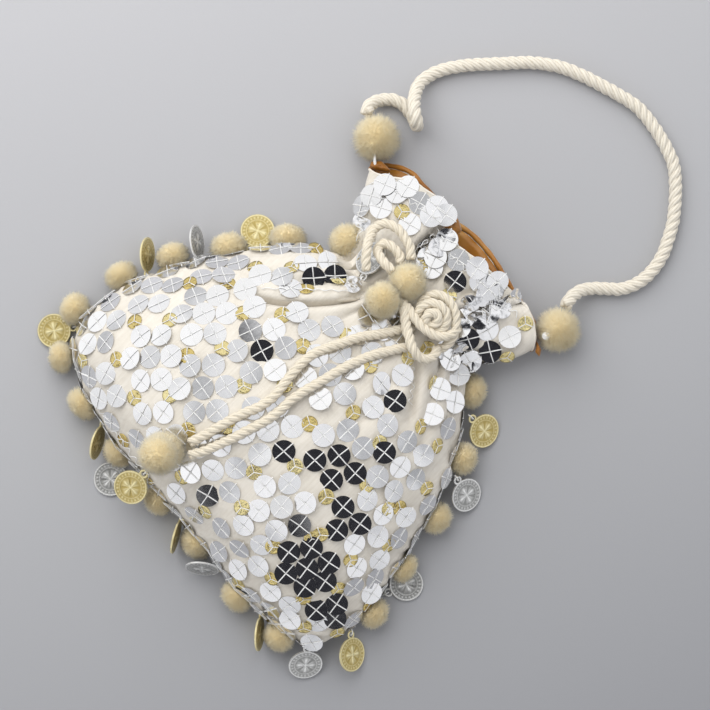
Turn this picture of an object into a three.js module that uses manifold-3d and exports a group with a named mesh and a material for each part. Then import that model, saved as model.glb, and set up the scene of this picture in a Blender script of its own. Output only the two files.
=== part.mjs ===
// Potli bag: a drawstring pouch lying on its back, stuffed, with a flared frill
// mouth, a twisted rope handle, a fringe of pompoms and coin charms on the seam,
// and two drawstrings. Units are millimetres, +Z is up, +Y runs from the base
// seam to the mouth. The origin is on the supporting surface under the middle
// of the bag without its cords.
import * as THREE from 'three';
import { mergeVertices } from 'three/addons/utils/BufferGeometryUtils.js';
import Module from 'manifold-3d';

// ---------------------------------------------------------------- dimensions
const SHELL = 1.2;            // outer fabric with its interlining
const GAP = 0.3;              // clearance between touching pieces
const LINING_GAP = 0.7;       // the lining hangs a little loose inside the shell
const LINING = 0.6;           // satin lining
const COIN_RADIUS = 8.5;
const COIN_THICKNESS = 1.0;
const EYELET_RADIUS = 2.3;    // outer radius of the ring cast on the coin's edge
const EYELET_HOLE = 1.25;
const ROPE_DIAMETER = 6.8;    // three-strand handle rope
const STRING_DIAMETER = 5.0;  // twisted drawstring
const NECK_T = 0.72;          // row parameter of the gathered neck

// Rows run from the base seam (0) to the mouth edge (1), columns from the left
// seam (-1) to the right seam (1).
const ROW_T = [0.0,0.0304,0.0675,0.1111,0.161,0.2168,0.2779,0.3439,0.414,0.4874,0.5635,0.6413,0.72,0.7667,0.8133,0.86,0.9067,0.9533,1.0];
const COL_S = [-1.0,-0.9219,-0.817,-0.6872,-0.5358,-0.3672,-0.1867,0.0,0.1867,0.3672,0.5358,0.6872,0.817,0.9219,1.0];
const SEAM_LEFT = [[-77.85,-79.38],[-84.6,-75.32],[-91.6,-70.05],[-97.75,-62.5],[-100.91,-52.08],[-100.04,-39.28],[-95.78,-25.21],[-89.09,-10.53],[-80.51,4.47],[-70.44,19.56],[-58.88,34.14],[-44.86,46.66],[-33.49,56.91],[-32.61,65.23],[-36.55,71.69],[-41.1,77.86],[-45.55,84.09],[-49.65,90.56],[-53.41,97.23]];
const SEAM_RIGHT = [[87.68,-92.01],[92.56,-86.67],[96.09,-79.49],[97.65,-69.83],[97.17,-58.18],[95.18,-44.98],[92.23,-30.51],[88.72,-14.95],[84.32,1.28],[78.03,17.56],[69.09,33.1],[57.55,47.65],[49.48,59.94],[50.72,67.12],[54.62,71.14],[58.29,75.36],[61.49,79.93],[63.89,84.94],[65.53,90.28]];
// How far the base seam and the two mouth edges bow away from a straight line.
const BASE_BOW = [[0.0,0.0],[0.01,-0.21],[-0.03,-0.87],[-0.21,-2.44],[-0.28,-3.51],[-0.22,-3.5],[-0.12,-2.75],[-0.09,-3.03],[-0.1,-3.75],[-0.14,-4.74],[-0.08,-4.78],[-0.0,-4.34],[0.04,-2.97],[0.08,-1.78],[0.0,0.0]];
const FRONT_EDGE = [[0.0,0.0],[0.08,0.86],[0.09,5.01],[-0.1,10.5],[0.83,12.99],[2.34,15.3],[-3.35,7.54],[-4.77,6.02],[-3.1,8.28],[-1.26,9.79],[0.38,11.08],[1.89,11.35],[2.62,8.55],[1.7,4.31],[0.0,0.0]];
const BACK_EDGE = [[0.0,0.0],[-3.19,5.25],[-4.29,10.37],[-4.05,14.33],[-2.91,14.37],[-1.57,14.88],[-0.3,14.56],[-1.06,16.63],[0.35,16.13],[1.57,14.23],[2.7,12.42],[3.82,11.48],[4.44,9.23],[2.55,4.61],[0.0,0.0]];
// Heights along the rows: the crown of the front, the seam, the back.
const CROWN_Z = [[0, 50], [0.15, 53], [0.3, 55], [0.45, 51], [0.6, 40], [0.72, 30], [0.8, 27], [0.9, 27], [1.0, 28]];
const SEAM_Z = [[0, 9], [0.5, 9], [0.66, 10], [0.72, 13], [1, 13]];
const BACK_Z = [[0, 0], [0.6, 0], [0.72, 2.5], [0.85, 1.2], [1, 1.2]];

// Pompom centres and radii, from the neck's left round the base to the neck's right.
const SEAM_POMPOMS = [[-41.04,63.41,12.0,7.4],[-59.56,45.23,8.2,7.4],[-78.7,21.85,8.2,7.4],[-93.95,-1.79,8.2,7.4],[-105.17,-27.06,8.2,7.26],[-109.74,-55.48,8.2,7.4],[-97.28,-77.76,8.2,6.82],[-73.02,-87.91,8.2,7.4],[-44.1,-93.35,8.2,7.4],[-12.2,-94.98,8.2,7.04],[15.42,-98.04,8.2,7.4],[48.81,-101.9,8.2,7.4],[78.08,-101.25,8.2,7.04],[104.8,-56.67,8.2,7.04],[99.47,-29.92,8.2,6.6],[93.32,-0.93,8.2,7.4],[80.81,29.09,8.2,7.4],[61.21,56.6,8.2,7.4]];
const HANDLE_POMPOMS = [[-62.85,110.24,11.6,11.0],[67.28,106.04,11.6,11.0]];
// Drawstring pompoms: centre, radius across, half height. The tails' two are stacked and pressed flat.
const STRING_POMPOMS = [[-5.5,56.54,42.89,8.0,8.0],[-0.42,69.96,38.94,7.4,7.4],[-26.65,-72.11,61.95,9.6,6.4],[-25.7,-69.95,49.16,9.6,5.6]];

// Coin charms: name, centre, face normal, direction from the centre to the eyelet.
const COINS = [
  ["coin_gold_01", [-72.39,36.42,2.96], [-0.1647,0.1759,0.9705], [0.3975,-0.8887,0.2285]],
  ["coin_silver_02", [-89.18,11.18,10.11], [0.5947,0.737,0.3212], [0.6854,-0.6736,0.2764]],
  ["coin_gold_03", [-102.26,-10.53,9.96], [0.6907,0.6522,0.3123], [0.6675,-0.7411,0.0714]],
  ["coin_gold_04", [-108.96,-70.61,1.94], [-0.0888,-0.0948,0.9915], [0.5619,0.8172,0.1284]],
  ["coin_gold_05", [-53.8,-94.16,9.4], [0.833,0.5035,0.2293], [-0.5252,0.85,0.0417]],
  ["coin_silver_06", [-36.74,-103.16,0.77], [-0.0022,0.0022,1.0], [-0.0985,0.9951,-0.0024]],
  ["coin_gold_07", [-26.22,-96.77,20.0], [0.0,-0.3011,0.9536], [0.0,0.9536,0.3011]],
  ["coin_gold_08", [6.71,-99.51,9.55], [0.8505,0.5161,0.101], [-0.517,0.8558,-0.0192]],
  ["coin_silver_09", [27.01,-101.4,9.73], [0.5695,-0.6965,0.4364], [0.7678,0.6404,0.0201]],
  ["coin_gold_10", [70.01,-104.29,9.45], [0.7264,0.656,0.2048], [-0.67,0.7424,-0.0018]],
  ["coin_silver_11", [97.22,-99.36,5.7], [0.4768,-0.2621,0.839], [-0.5229,0.6827,0.5104]],
  ["coin_gold_12", [109.78,-79.19,8.0], [0.5,0.5,0.7071], [-0.7432,0.6669,0.0539]],
  ["coin_silver_13", [104.75,-35.85,0.86], [0.0119,0.0,0.9999], [-0.3451,-0.9386,0.0041]],
  ["coin_silver_14", [94.11,16.89,5.75], [0.5064,0.2157,0.8349], [-0.8586,0.215,0.4653]],
  ["coin_gold_15", [77.8,45.69,5.63], [0.4907,0.2152,0.8444], [-0.8654,0.0075,0.501]],
  ["coin_silver_16", [-22.2,65.59,28.01], [-0.6639,-0.129,0.7366], [0.4017,-0.8923,0.2058]]
];

// Routes of the cords' centre lines.
const HANDLE_ROUTE = [[-74.68,115.42,12.5],[-76.44,118.6,10.0],[-76.35,122.41,6.5],[-74.93,125.94,4.3],[-71.97,129.34,3.8],[-67.92,131.63,3.8],[-63.52,132.16,3.8],[-58.91,131.41,4.2],[-54.68,129.87,7.5],[-52.83,128.87,12.5],[-53.97,129.48,17.2],[-57.64,131.92,18.2],[-61.56,135.39,15.5],[-64.81,139.87,11.0],[-66.86,144.9,6.5],[-66.84,150.26,4.2],[-64.93,156.13,3.7],[-60.53,163.7,3.7],[-53.31,172.69,3.7],[-45.52,181.11,3.7],[-37.8,189.6,3.7],[-31.07,195.56,3.7],[-23.53,200.7,3.7],[-13.31,205.28,3.7],[-3.8,208.45,3.7],[6.63,211.41,3.7],[16.99,213.74,3.7],[25.8,213.38,3.7],[35.31,211.62,3.7],[44.12,209.16,3.7],[51.88,205.63,3.7],[58.75,199.82,3.7],[65.27,192.95,3.7],[70.9,185.9,3.7],[75.48,177.8,3.7],[79.36,168.99,3.7],[80.77,159.83,3.7],[79.71,151.02,3.7],[75.84,143.62,3.7],[70.04,138.09,4.0],[65.02,133.1,5.0],[61.9,127.41,7.5],[61.39,121.88,10.5],[61.99,117.86,12.5]];
const TAIL_UPPER_ROUTE = [[15.81,56.57,35.81],[12.88,51.89,38.48],[9.97,47.24,40.9],[7.07,42.61,43.05],[1.31,34.77,46.42],[-2.06,28.0,48.83],[-5.41,21.25,51.24],[-8.42,14.2,52.88],[-9.4,5.15,55.01],[-8.71,-4.22,56.17],[-7.69,-13.24,57.16],[-8.69,-20.93,57.59],[-12.71,-31.64,57.76],[-15.74,-42.09,56.73],[-18.13,-51.28,54.89],[-20.51,-57.76,53.72]];
const TAIL_LOWER_ROUTE = [[22.77,50.18,38.51],[19.33,45.36,41.15],[16.41,40.74,43.57],[13.51,36.13,45.7],[9.09,26.98,49.19],[5.72,16.88,52.47],[3.03,6.16,55.02],[0.68,-2.87,56.27],[-0.65,-10.22,57.12],[-0.82,-17.41,57.59],[-2.32,-25.26,58.02],[-4.67,-32.97,57.89],[-7.02,-40.73,57.12],[-10.06,-49.21,55.71],[-12.93,-56.52,54.51],[-16.15,-62.17,53.3]];
const BOW_OUTER_ROUTE = [[-19.33,59.86,40.0],[-22.89,63.08,40.5],[-26.31,67.19,40.0],[-29.58,72.57,33.69],[-31.04,77.14,31.25],[-29.27,82.21,32.75],[-23.92,84.72,33.98],[-17.22,84.16,34.78],[-11.22,81.91,35.25],[-7.97,79.0,35.36]];
const BOW_INNER_ROUTE = [[-10.12,68.36,40.5],[-15.23,68.36,40.5],[-19.89,69.32,37.71],[-23.02,71.64,32.95],[-22.74,74.99,33.19],[-19.29,76.66,34.13],[-15.17,76.64,34.61],[-11.74,75.59,34.96],[-10.37,73.53,35.23]];
const LOOP_LOWER_ROUTE = [[5.72,59.97,42.08],[9.45,57.22,42.91],[13.36,54.32,43.48],[18.43,51.23,44.91],[23.34,48.67,45.55],[28.29,48.2,43.65],[31.91,50.11,41.74],[32.82,54.43,39.29],[31.32,57.7,38.02]];
const KNOT_CENTRE = [22.62,69.17,37.3];
const KNOT_SIZE = [10.5, 12.5, 6.5];   // half axes of the tied lump

// Outlines of the satin tabs that join the mouth corners to the handle.
const TAB_LEFT = [[-56.06,100.26],[-52.71,103.88],[-46.02,103.81],[-47.17,101.47],[-51.77,98.41],[-55.08,97.89]];
const TAB_RIGHT = [[63.8,95.17],[66.34,94.58],[68.95,93.7],[70.69,90.57],[67.38,90.74],[65.82,93.01]];
const TAB_Z = [14.0, 17.5];

// ------------------------------------------------------------------- helpers
const lerpTable = (table, t) => {
  for (let i = 1; i < table.length; i += 1) {
    if (t <= table[i][0]) {
      const [a, va] = table[i - 1];
      const [b, vb] = table[i];
      return va + (vb - va) * ((t - a) / (b - a));
    }
  }
  return table[table.length - 1][1];
};
const clamp = (v, lo, hi) => Math.min(hi, Math.max(lo, v));

const inward = (line, k, sign) => {
  const a = line[Math.max(0, k - 1)];
  const b = line[Math.min(line.length - 1, k + 1)];
  const dx = b[0] - a[0];
  const dy = b[1] - a[1];
  const l = Math.hypot(dx, dy);
  return [sign * dy / l, -sign * dx / l];
};

// One surface of the pouch. depth is how far it lies inside the outer face.
function surface(front, depth) {
  const rows = [];
  ROW_T.forEach((t, k) => {
    const nl = inward(SEAM_LEFT, k, 1);
    const nr = inward(SEAM_RIGHT, k, -1);
    const l = [SEAM_LEFT[k][0] + nl[0] * depth, SEAM_LEFT[k][1] + nl[1] * depth];
    const r = [SEAM_RIGHT[k][0] + nr[0] * depth, SEAM_RIGHT[k][1] + nr[1] * depth];
    const base = (1 - t) ** 3;
    const frill = clamp((t - NECK_T) / (1 - NECK_T), 0, 1);
    const mouth = frill ** 1.5;
    const q = Math.min(t / 0.26, 1);
    const closing = (1 - (1 - q) ** 2.2) ** 0.6;
    const seamZ = lerpTable(SEAM_Z, t);
    const edge = front ? FRONT_EDGE : BACK_EDGE;
    const row = COL_S.map((s, j) => {
      const f = (s + 1) / 2;
      const x = l[0] + (r[0] - l[0]) * f + base * BASE_BOW[j][0] + mouth * edge[j][0];
      const y = l[1] + (r[1] - l[1]) * f + base * BASE_BOW[j][1] + mouth * edge[j][1] + depth * (1 - q) ** 2;
      const w = (1 - Math.abs(s) ** (2.4 + 1.6 * frill)) ** 0.62;
      let z;
      if (front) {
        const rise = lerpTable(CROWN_Z, t) - seamZ - GAP / 2;
        z = seamZ + GAP / 2 + rise * w * closing * (1 - depth / rise);
      } else {
        const drop = seamZ - GAP / 2 - lerpTable(BACK_Z, t);
        z = seamZ - GAP / 2 - drop * clamp(w * closing * 2, 0, 1) * (1 - depth / drop);
      }
      return [x, y, z];
    });
    rows.push(row);
  });
  return rows;
}

// A closed sheet between two surfaces of the same grid.
function sheet(front, outerDepth, innerDepth) {
  const a = surface(front, outerDepth);
  const b = surface(front, innerDepth);
  const nr = a.length;
  const nc = a[0].length;
  const positions = [...a.flat(), ...b.flat()].flat();
  const index = [];
  const at = (layer, k, j) => layer * nr * nc + k * nc + j;
  const quad = (p, q, r, s) => index.push(p, q, r, p, r, s);
  for (let k = 0; k < nr - 1; k += 1) {
    for (let j = 0; j < nc - 1; j += 1) {
      quad(at(0, k, j), at(0, k, j + 1), at(0, k + 1, j + 1), at(0, k + 1, j));
      quad(at(1, k, j), at(1, k + 1, j), at(1, k + 1, j + 1), at(1, k, j + 1));
    }
  }
  for (let j = 0; j < nc - 1; j += 1) {
    quad(at(0, 0, j), at(1, 0, j), at(1, 0, j + 1), at(0, 0, j + 1));
    quad(at(0, nr - 1, j), at(0, nr - 1, j + 1), at(1, nr - 1, j + 1), at(1, nr - 1, j));
  }
  for (let k = 0; k < nr - 1; k += 1) {
    quad(at(0, k, 0), at(0, k + 1, 0), at(1, k + 1, 0), at(1, k, 0));
    quad(at(0, k, nc - 1), at(1, k, nc - 1), at(1, k + 1, nc - 1), at(0, k + 1, nc - 1));
  }
  if (!front) {
    for (let i = 0; i < index.length; i += 3) [index[i + 1], index[i + 2]] = [index[i + 2], index[i + 1]];
  }
  const geometry = new THREE.BufferGeometry();
  geometry.setAttribute('position', new THREE.Float32BufferAttribute(positions, 3));
  geometry.setIndex(index);
  geometry.computeVertexNormals();
  return geometry;
}

const closed = (geometry) => {
  const g = geometry.clone();
  g.deleteAttribute('normal');
  g.deleteAttribute('uv');
  const merged = mergeVertices(g, 1e-4);
  merged.computeVertexNormals();
  return merged;
};

const wasm = await Module();
wasm.setup();
const toManifold = (geometry) => {
  const g = closed(geometry);
  return new wasm.Manifold(new wasm.Mesh({
    numProp: 3,
    vertProperties: new Float32Array(g.attributes.position.array),
    triVerts: new Uint32Array(g.index.array),
  }));
};
const fromManifold = (manifold) => {
  const m = manifold.getMesh();
  const g = new THREE.BufferGeometry();
  g.setAttribute('position', new THREE.Float32BufferAttribute(new Float32Array(m.vertProperties), 3));
  g.setIndex(new THREE.Uint32BufferAttribute(new Uint32Array(m.triVerts), 1));
  g.computeVertexNormals();
  return g;
};

// A coin charm: a struck disc with its eyelet in one piece, eyelet along +Y.
function coinGeometry() {
  const disc = new THREE.LatheGeometry([
    [0, -COIN_THICKNESS / 2], [COIN_RADIUS, -COIN_THICKNESS / 2], [COIN_RADIUS, COIN_THICKNESS / 2], [0, COIN_THICKNESS / 2],
  ].map(([r, z]) => new THREE.Vector2(r, z)), 16);
  disc.rotateX(Math.PI / 2);
  const h = COIN_THICKNESS * 0.4;
  const ring = new THREE.LatheGeometry([
    [EYELET_HOLE, -h], [EYELET_RADIUS, -h], [EYELET_RADIUS, h], [EYELET_HOLE, h], [EYELET_HOLE, -h],
  ].map(([r, z]) => new THREE.Vector2(r, z)), 8);
  ring.rotateX(Math.PI / 2);
  ring.translate(0, COIN_RADIUS + EYELET_HOLE + 0.15, 0);
  return fromManifold(toManifold(disc).add(toManifold(ring)));
}

function cordGeometry(route, diameter, steps, sides = 8) {
  const curve = new THREE.CatmullRomCurve3(route.map((p) => new THREE.Vector3(...p)), false, 'centripetal');
  const section = new THREE.Shape();
  for (let i = 0; i < sides; i += 1) {
    const a = (i / sides) * Math.PI * 2;
    const x = Math.cos(a) * diameter / 2;
    const y = Math.sin(a) * diameter / 2;
    if (i === 0) section.moveTo(x, y); else section.lineTo(x, y);
  }
  section.closePath();
  return closed(new THREE.ExtrudeGeometry(section, { steps, bevelEnabled: false, extrudePath: curve }));
}

const pompomGeometry = (radius) => closed(new THREE.IcosahedronGeometry(radius, 1));

function tabGeometry(outline) {
  const shape = new THREE.Shape(outline.map(([x, y]) => new THREE.Vector2(x, y)));
  const g = new THREE.ExtrudeGeometry(shape, { depth: TAB_Z[1] - TAB_Z[0], bevelEnabled: false });
  g.translate(0, 0, TAB_Z[0]);
  return closed(g);
}

// ----------------------------------------------------------------- materials
const material = (color, roughness, metalness = 0) => new THREE.MeshStandardMaterial({ color, roughness, metalness, side: THREE.DoubleSide });
const ivory = material(0xe6e0d4, 0.85);
const satin = material(0xb98238, 0.4);
const fuzz = material(0xc9bd9a, 0.95);
const cotton = material(0xe4dcc8, 0.9);
const gold = material(0xb9a04c, 0.3, 1);
const silver = material(0xb8b8b4, 0.3, 1);

// -------------------------------------------------------------------- object
const bag = new THREE.Group();
const put = (name, geometry, mat, parent = bag) => {
  const mesh = new THREE.Mesh(geometry, mat);
  mesh.name = name;
  parent.add(mesh);
  return mesh;
};

const pouch = new THREE.Group();
bag.add(pouch);
put('front_panel', sheet(true, 0, SHELL), ivory, pouch);
put('back_panel', sheet(false, 0, SHELL), ivory, pouch);
put('front_lining', sheet(true, SHELL + LINING_GAP, SHELL + LINING_GAP + LINING), satin, pouch);
put('back_lining', sheet(false, SHELL + LINING_GAP, SHELL + LINING_GAP + LINING), satin, pouch);
put('handle_tab_left', tabGeometry(TAB_LEFT), satin, pouch);
put('handle_tab_right', tabGeometry(TAB_RIGHT), satin, pouch);

const fringe = new THREE.Group();
bag.add(fringe);
SEAM_POMPOMS.forEach(([x, y, z, r], i) => {
  put(`seam_pompom_${String(i + 1).padStart(2, '0')}`, pompomGeometry(r), fuzz, fringe).position.set(x, y, z);
});
const coinShape = coinGeometry();
COINS.forEach(([name, centre, normal, eyelet]) => {
  const mesh = put(name, coinShape.clone(), name.includes('gold') ? gold : silver, fringe);
  const n = new THREE.Vector3(...normal).normalize();
  const e = new THREE.Vector3(...eyelet).addScaledVector(n, -new THREE.Vector3(...eyelet).dot(n)).normalize();
  const x = new THREE.Vector3().crossVectors(e, n);
  mesh.quaternion.setFromRotationMatrix(new THREE.Matrix4().makeBasis(x, e, n));
  mesh.position.set(...centre);
});

const handle = new THREE.Group();
bag.add(handle);
put('handle_rope', cordGeometry(HANDLE_ROUTE, ROPE_DIAMETER, 56), cotton, handle);
HANDLE_POMPOMS.forEach(([x, y, z, r], i) => {
  put(`handle_pompom_${i ? 'right' : 'left'}`, pompomGeometry(r), fuzz, handle).position.set(x, y, z);
});

const strings = new THREE.Group();
bag.add(strings);
put('drawstring_tail_upper', cordGeometry(TAIL_UPPER_ROUTE, STRING_DIAMETER, 22), cotton, strings);
put('drawstring_tail_lower', cordGeometry(TAIL_LOWER_ROUTE, STRING_DIAMETER, 22), cotton, strings);
put('drawstring_bow_outer', cordGeometry(BOW_OUTER_ROUTE, STRING_DIAMETER, 18), cotton, strings);
put('drawstring_bow_inner', cordGeometry(BOW_INNER_ROUTE, STRING_DIAMETER, 12), cotton, strings);
put('drawstring_loop_lower', cordGeometry(LOOP_LOWER_ROUTE, STRING_DIAMETER, 16), cotton, strings);
const knot = put('drawstring_knot', closed(new THREE.IcosahedronGeometry(1, 1).scale(...KNOT_SIZE)), cotton, strings);
knot.position.set(...KNOT_CENTRE);
STRING_POMPOMS.forEach(([x, y, z, r, h], i) => {
  const shape = new THREE.IcosahedronGeometry(1, 1).scale(r, r, h);
  put(`drawstring_pompom_${String(i + 1).padStart(2, '0')}`, closed(shape), fuzz, strings).position.set(x, y, z);
});

export default bag;
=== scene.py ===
import math

import bpy
import numpy as np
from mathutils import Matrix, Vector, noise
from mathutils.bvhtree import BVHTree


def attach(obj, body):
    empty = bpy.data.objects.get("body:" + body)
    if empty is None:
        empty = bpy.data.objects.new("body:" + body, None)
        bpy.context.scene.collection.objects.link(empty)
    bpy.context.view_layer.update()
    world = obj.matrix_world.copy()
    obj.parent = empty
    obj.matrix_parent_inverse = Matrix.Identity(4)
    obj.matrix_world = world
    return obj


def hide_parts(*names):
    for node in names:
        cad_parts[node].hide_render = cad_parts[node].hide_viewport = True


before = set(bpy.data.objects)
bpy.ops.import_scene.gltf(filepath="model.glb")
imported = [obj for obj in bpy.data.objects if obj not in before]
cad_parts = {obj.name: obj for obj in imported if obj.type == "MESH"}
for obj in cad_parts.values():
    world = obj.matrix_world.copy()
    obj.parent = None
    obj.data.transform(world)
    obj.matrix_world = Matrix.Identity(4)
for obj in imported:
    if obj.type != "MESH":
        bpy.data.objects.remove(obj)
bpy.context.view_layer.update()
scene = bpy.context.scene
MM = 0.001
rng = np.random.default_rng(7)

# ------------------------------------------------------------------- camera
cam_data = bpy.data.cameras.new("camera")
cam_data.sensor_width = 36.0
cam_data.lens = 36.0 * 1100.0 / 355.0
cam_data.clip_start, cam_data.clip_end = 0.05, 20.0
cam = bpy.data.objects.new("camera", cam_data)
scene.collection.objects.link(cam)
EYE = np.array([5.7155, 26.984, 1100.0])
cam.location = Vector(EYE * MM)
cam.rotation_euler = (0.0, 0.0, math.radians(45.0))
scene.camera = cam
scene.view_settings.view_transform = "Standard"

# --------------------------------------------------- measurements, millimetres
ROW_T = np.array([0.0,0.0304,0.0675,0.1111,0.161,0.2168,0.2779,0.3439,0.414,0.4874,0.5635,0.6413,0.72,0.7667,0.8133,0.86,0.9067,0.9533,1.0])
SEAM_LEFT = np.array([[-77.85,-79.38],[-84.6,-75.32],[-91.6,-70.05],[-97.75,-62.5],[-100.91,-52.08],[-100.04,-39.28],[-95.78,-25.21],[-89.09,-10.53],[-80.51,4.47],[-70.44,19.56],[-58.88,34.14],[-44.86,46.66],[-33.49,56.91],[-32.61,65.23],[-36.55,71.69],[-41.1,77.86],[-45.55,84.09],[-49.65,90.56],[-53.41,97.23]])
SEAM_RIGHT = np.array([[87.68,-92.01],[92.56,-86.67],[96.09,-79.49],[97.65,-69.83],[97.17,-58.18],[95.18,-44.98],[92.23,-30.51],[88.72,-14.95],[84.32,1.28],[78.03,17.56],[69.09,33.1],[57.55,47.65],[49.48,59.94],[50.72,67.12],[54.62,71.14],[58.29,75.36],[61.49,79.93],[63.89,84.94],[65.53,90.28]])
COL_S = np.array([-1.0,-0.9219,-0.817,-0.6872,-0.5358,-0.3672,-0.1867,0.0,0.1867,0.3672,0.5358,0.6872,0.817,0.9219,1.0])
BASE_BOW = np.array([[0.0,0.0],[0.01,-0.21],[-0.03,-0.87],[-0.21,-2.44],[-0.28,-3.51],[-0.22,-3.5],[-0.12,-2.75],[-0.09,-3.03],[-0.1,-3.75],[-0.14,-4.74],[-0.08,-4.78],[-0.0,-4.34],[0.04,-2.97],[0.08,-1.78],[0.0,0.0]])
FRONT_EDGE = np.array([[0.0,0.0],[0.08,0.86],[0.09,5.01],[-0.1,10.5],[0.83,12.99],[2.34,15.3],[-3.35,7.54],[-4.77,6.02],[-3.1,8.28],[-1.26,9.79],[0.38,11.08],[1.89,11.35],[2.62,8.55],[1.7,4.31],[0.0,0.0]])
BACK_EDGE = np.array([[0.0,0.0],[-3.19,5.25],[-4.29,10.37],[-4.05,14.33],[-2.91,14.37],[-1.57,14.88],[-0.3,14.56],[-1.06,16.63],[0.35,16.13],[1.57,14.23],[2.7,12.42],[3.82,11.48],[4.44,9.23],[2.55,4.61],[0.0,0.0]])
CROWN_Z = np.array([[0, 50], [0.15, 53], [0.3, 55], [0.45, 51], [0.6, 40], [0.72, 30], [0.8, 27], [0.9, 27], [1.0, 28]], float)
SEAM_Z = np.array([[0, 9], [0.5, 9], [0.66, 10], [0.72, 13], [1, 13]], float)
BACK_Z = np.array([[0, 0], [0.6, 0], [0.72, 2.5], [0.85, 1.2], [1, 1.2]], float)
ROPE_D, STRING_D = 6.8, 5.0
HANDLE = np.array([[-74.68,115.42,12.5],[-76.44,118.6,10.0],[-76.35,122.41,6.5],[-74.93,125.94,4.3],[-71.97,129.34,3.8],[-67.92,131.63,3.8],[-63.52,132.16,3.8],[-58.91,131.41,4.2],[-54.68,129.87,7.5],[-52.83,128.87,12.5],[-53.97,129.48,17.2],[-57.64,131.92,18.2],[-61.56,135.39,15.5],[-64.81,139.87,11.0],[-66.86,144.9,6.5],[-66.84,150.26,4.2],[-64.93,156.13,3.7],[-60.53,163.7,3.7],[-53.31,172.69,3.7],[-45.52,181.11,3.7],[-37.8,189.6,3.7],[-31.07,195.56,3.7],[-23.53,200.7,3.7],[-13.31,205.28,3.7],[-3.8,208.45,3.7],[6.63,211.41,3.7],[16.99,213.74,3.7],[25.8,213.38,3.7],[35.31,211.62,3.7],[44.12,209.16,3.7],[51.88,205.63,3.7],[58.75,199.82,3.7],[65.27,192.95,3.7],[70.9,185.9,3.7],[75.48,177.8,3.7],[79.36,168.99,3.7],[80.77,159.83,3.7],[79.71,151.02,3.7],[75.84,143.62,3.7],[70.04,138.09,4.0],[65.02,133.1,5.0],[61.9,127.41,7.5],[61.39,121.88,10.5],[61.99,117.86,12.5]])
TAIL_UPPER = np.array([[15.81,56.57,35.81],[12.88,51.89,38.48],[9.97,47.24,40.9],[7.07,42.61,43.05],[1.31,34.77,46.42],[-2.06,28.0,48.83],[-5.41,21.25,51.24],[-8.42,14.2,52.88],[-9.4,5.15,55.01],[-8.71,-4.22,56.17],[-7.69,-13.24,57.16],[-8.69,-20.93,57.59],[-12.71,-31.64,57.76],[-15.74,-42.09,56.73],[-18.13,-51.28,54.89],[-20.51,-57.76,53.72]])
TAIL_LOWER = np.array([[22.77,50.18,38.51],[19.33,45.36,41.15],[16.41,40.74,43.57],[13.51,36.13,45.7],[9.09,26.98,49.19],[5.72,16.88,52.47],[3.03,6.16,55.02],[0.68,-2.87,56.27],[-0.65,-10.22,57.12],[-0.82,-17.41,57.59],[-2.32,-25.26,58.02],[-4.67,-32.97,57.89],[-7.02,-40.73,57.12],[-10.06,-49.21,55.71],[-12.93,-56.52,54.51],[-16.15,-62.17,53.3]])
BOW_OUTER = np.array([[-19.33,59.86,40.0],[-22.89,63.08,40.5],[-26.31,67.19,40.0],[-29.58,72.57,33.69],[-31.04,77.14,31.25],[-29.27,82.21,32.75],[-23.92,84.72,33.98],[-17.22,84.16,34.78],[-11.22,81.91,35.25],[-7.97,79.0,35.36]])
BOW_INNER = np.array([[-10.12, 68.36, 40.5], [-15.23, 68.36, 40.5], [-19.89, 69.32, 37.71], [-23.02, 71.64, 32.95], [-22.74, 74.99, 33.19], [-19.29, 76.66, 34.13], [-15.17, 76.64, 34.61], [-11.74, 75.59, 34.96], [-10.37, 73.53, 35.23]])
LOOP_LOWER = np.array([[5.72,59.97,42.08],[9.45,57.22,42.91],[13.36,54.32,43.48],[18.43,51.23,44.91],[23.34,48.67,45.55],[28.29,48.2,43.65],[31.91,50.11,41.74],[32.82,54.43,39.29],[31.32,57.7,38.02]])
KNOT_STRANDS = [np.array(p) for p in [[[14.27, 64.3, 35], [10.49, 66.58, 38], [10.49, 71.3, 39.5], [13.04, 75.52, 40.2], [17.97, 77.38, 40.5], [23.76, 76.35, 40.8], [28.87, 72.62, 40.5], [32.64, 67.55, 39.5], [33.72, 61.82, 37.5], [31.73, 56.42, 35]], [[17.32, 58.39, 38], [13.21, 61.72, 40.5], [12.17, 66.08, 42.3], [13.87, 70.46, 43.2], [17.77, 72.66, 43.4], [22.36, 72.17, 43], [25.78, 68.81, 42], [26.14, 64.43, 41], [23.6, 60.88, 40]], [[20.68, 61.69, 41.5], [17.43, 63.16, 43.3], [16.74, 66.18, 44.3], [18.1, 68.2, 44.6], [20.99, 68.38, 44.2], [22.53, 66.22, 43.2], [21.87, 63.2, 42], [20.02, 61.72, 40.5]], [[6.74, 61.36, 41], [12.85, 59.94, 42.8], [20.15, 59.41, 43.6], [27.11, 61.29, 43.2], [31.05, 65.59, 41.8], [31.63, 71.32, 39]], [[3.33, 62.08, 40], [7.08, 58.96, 41.5], [11.5, 55.21, 42], [16.26, 51.81, 42]]]]
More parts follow.
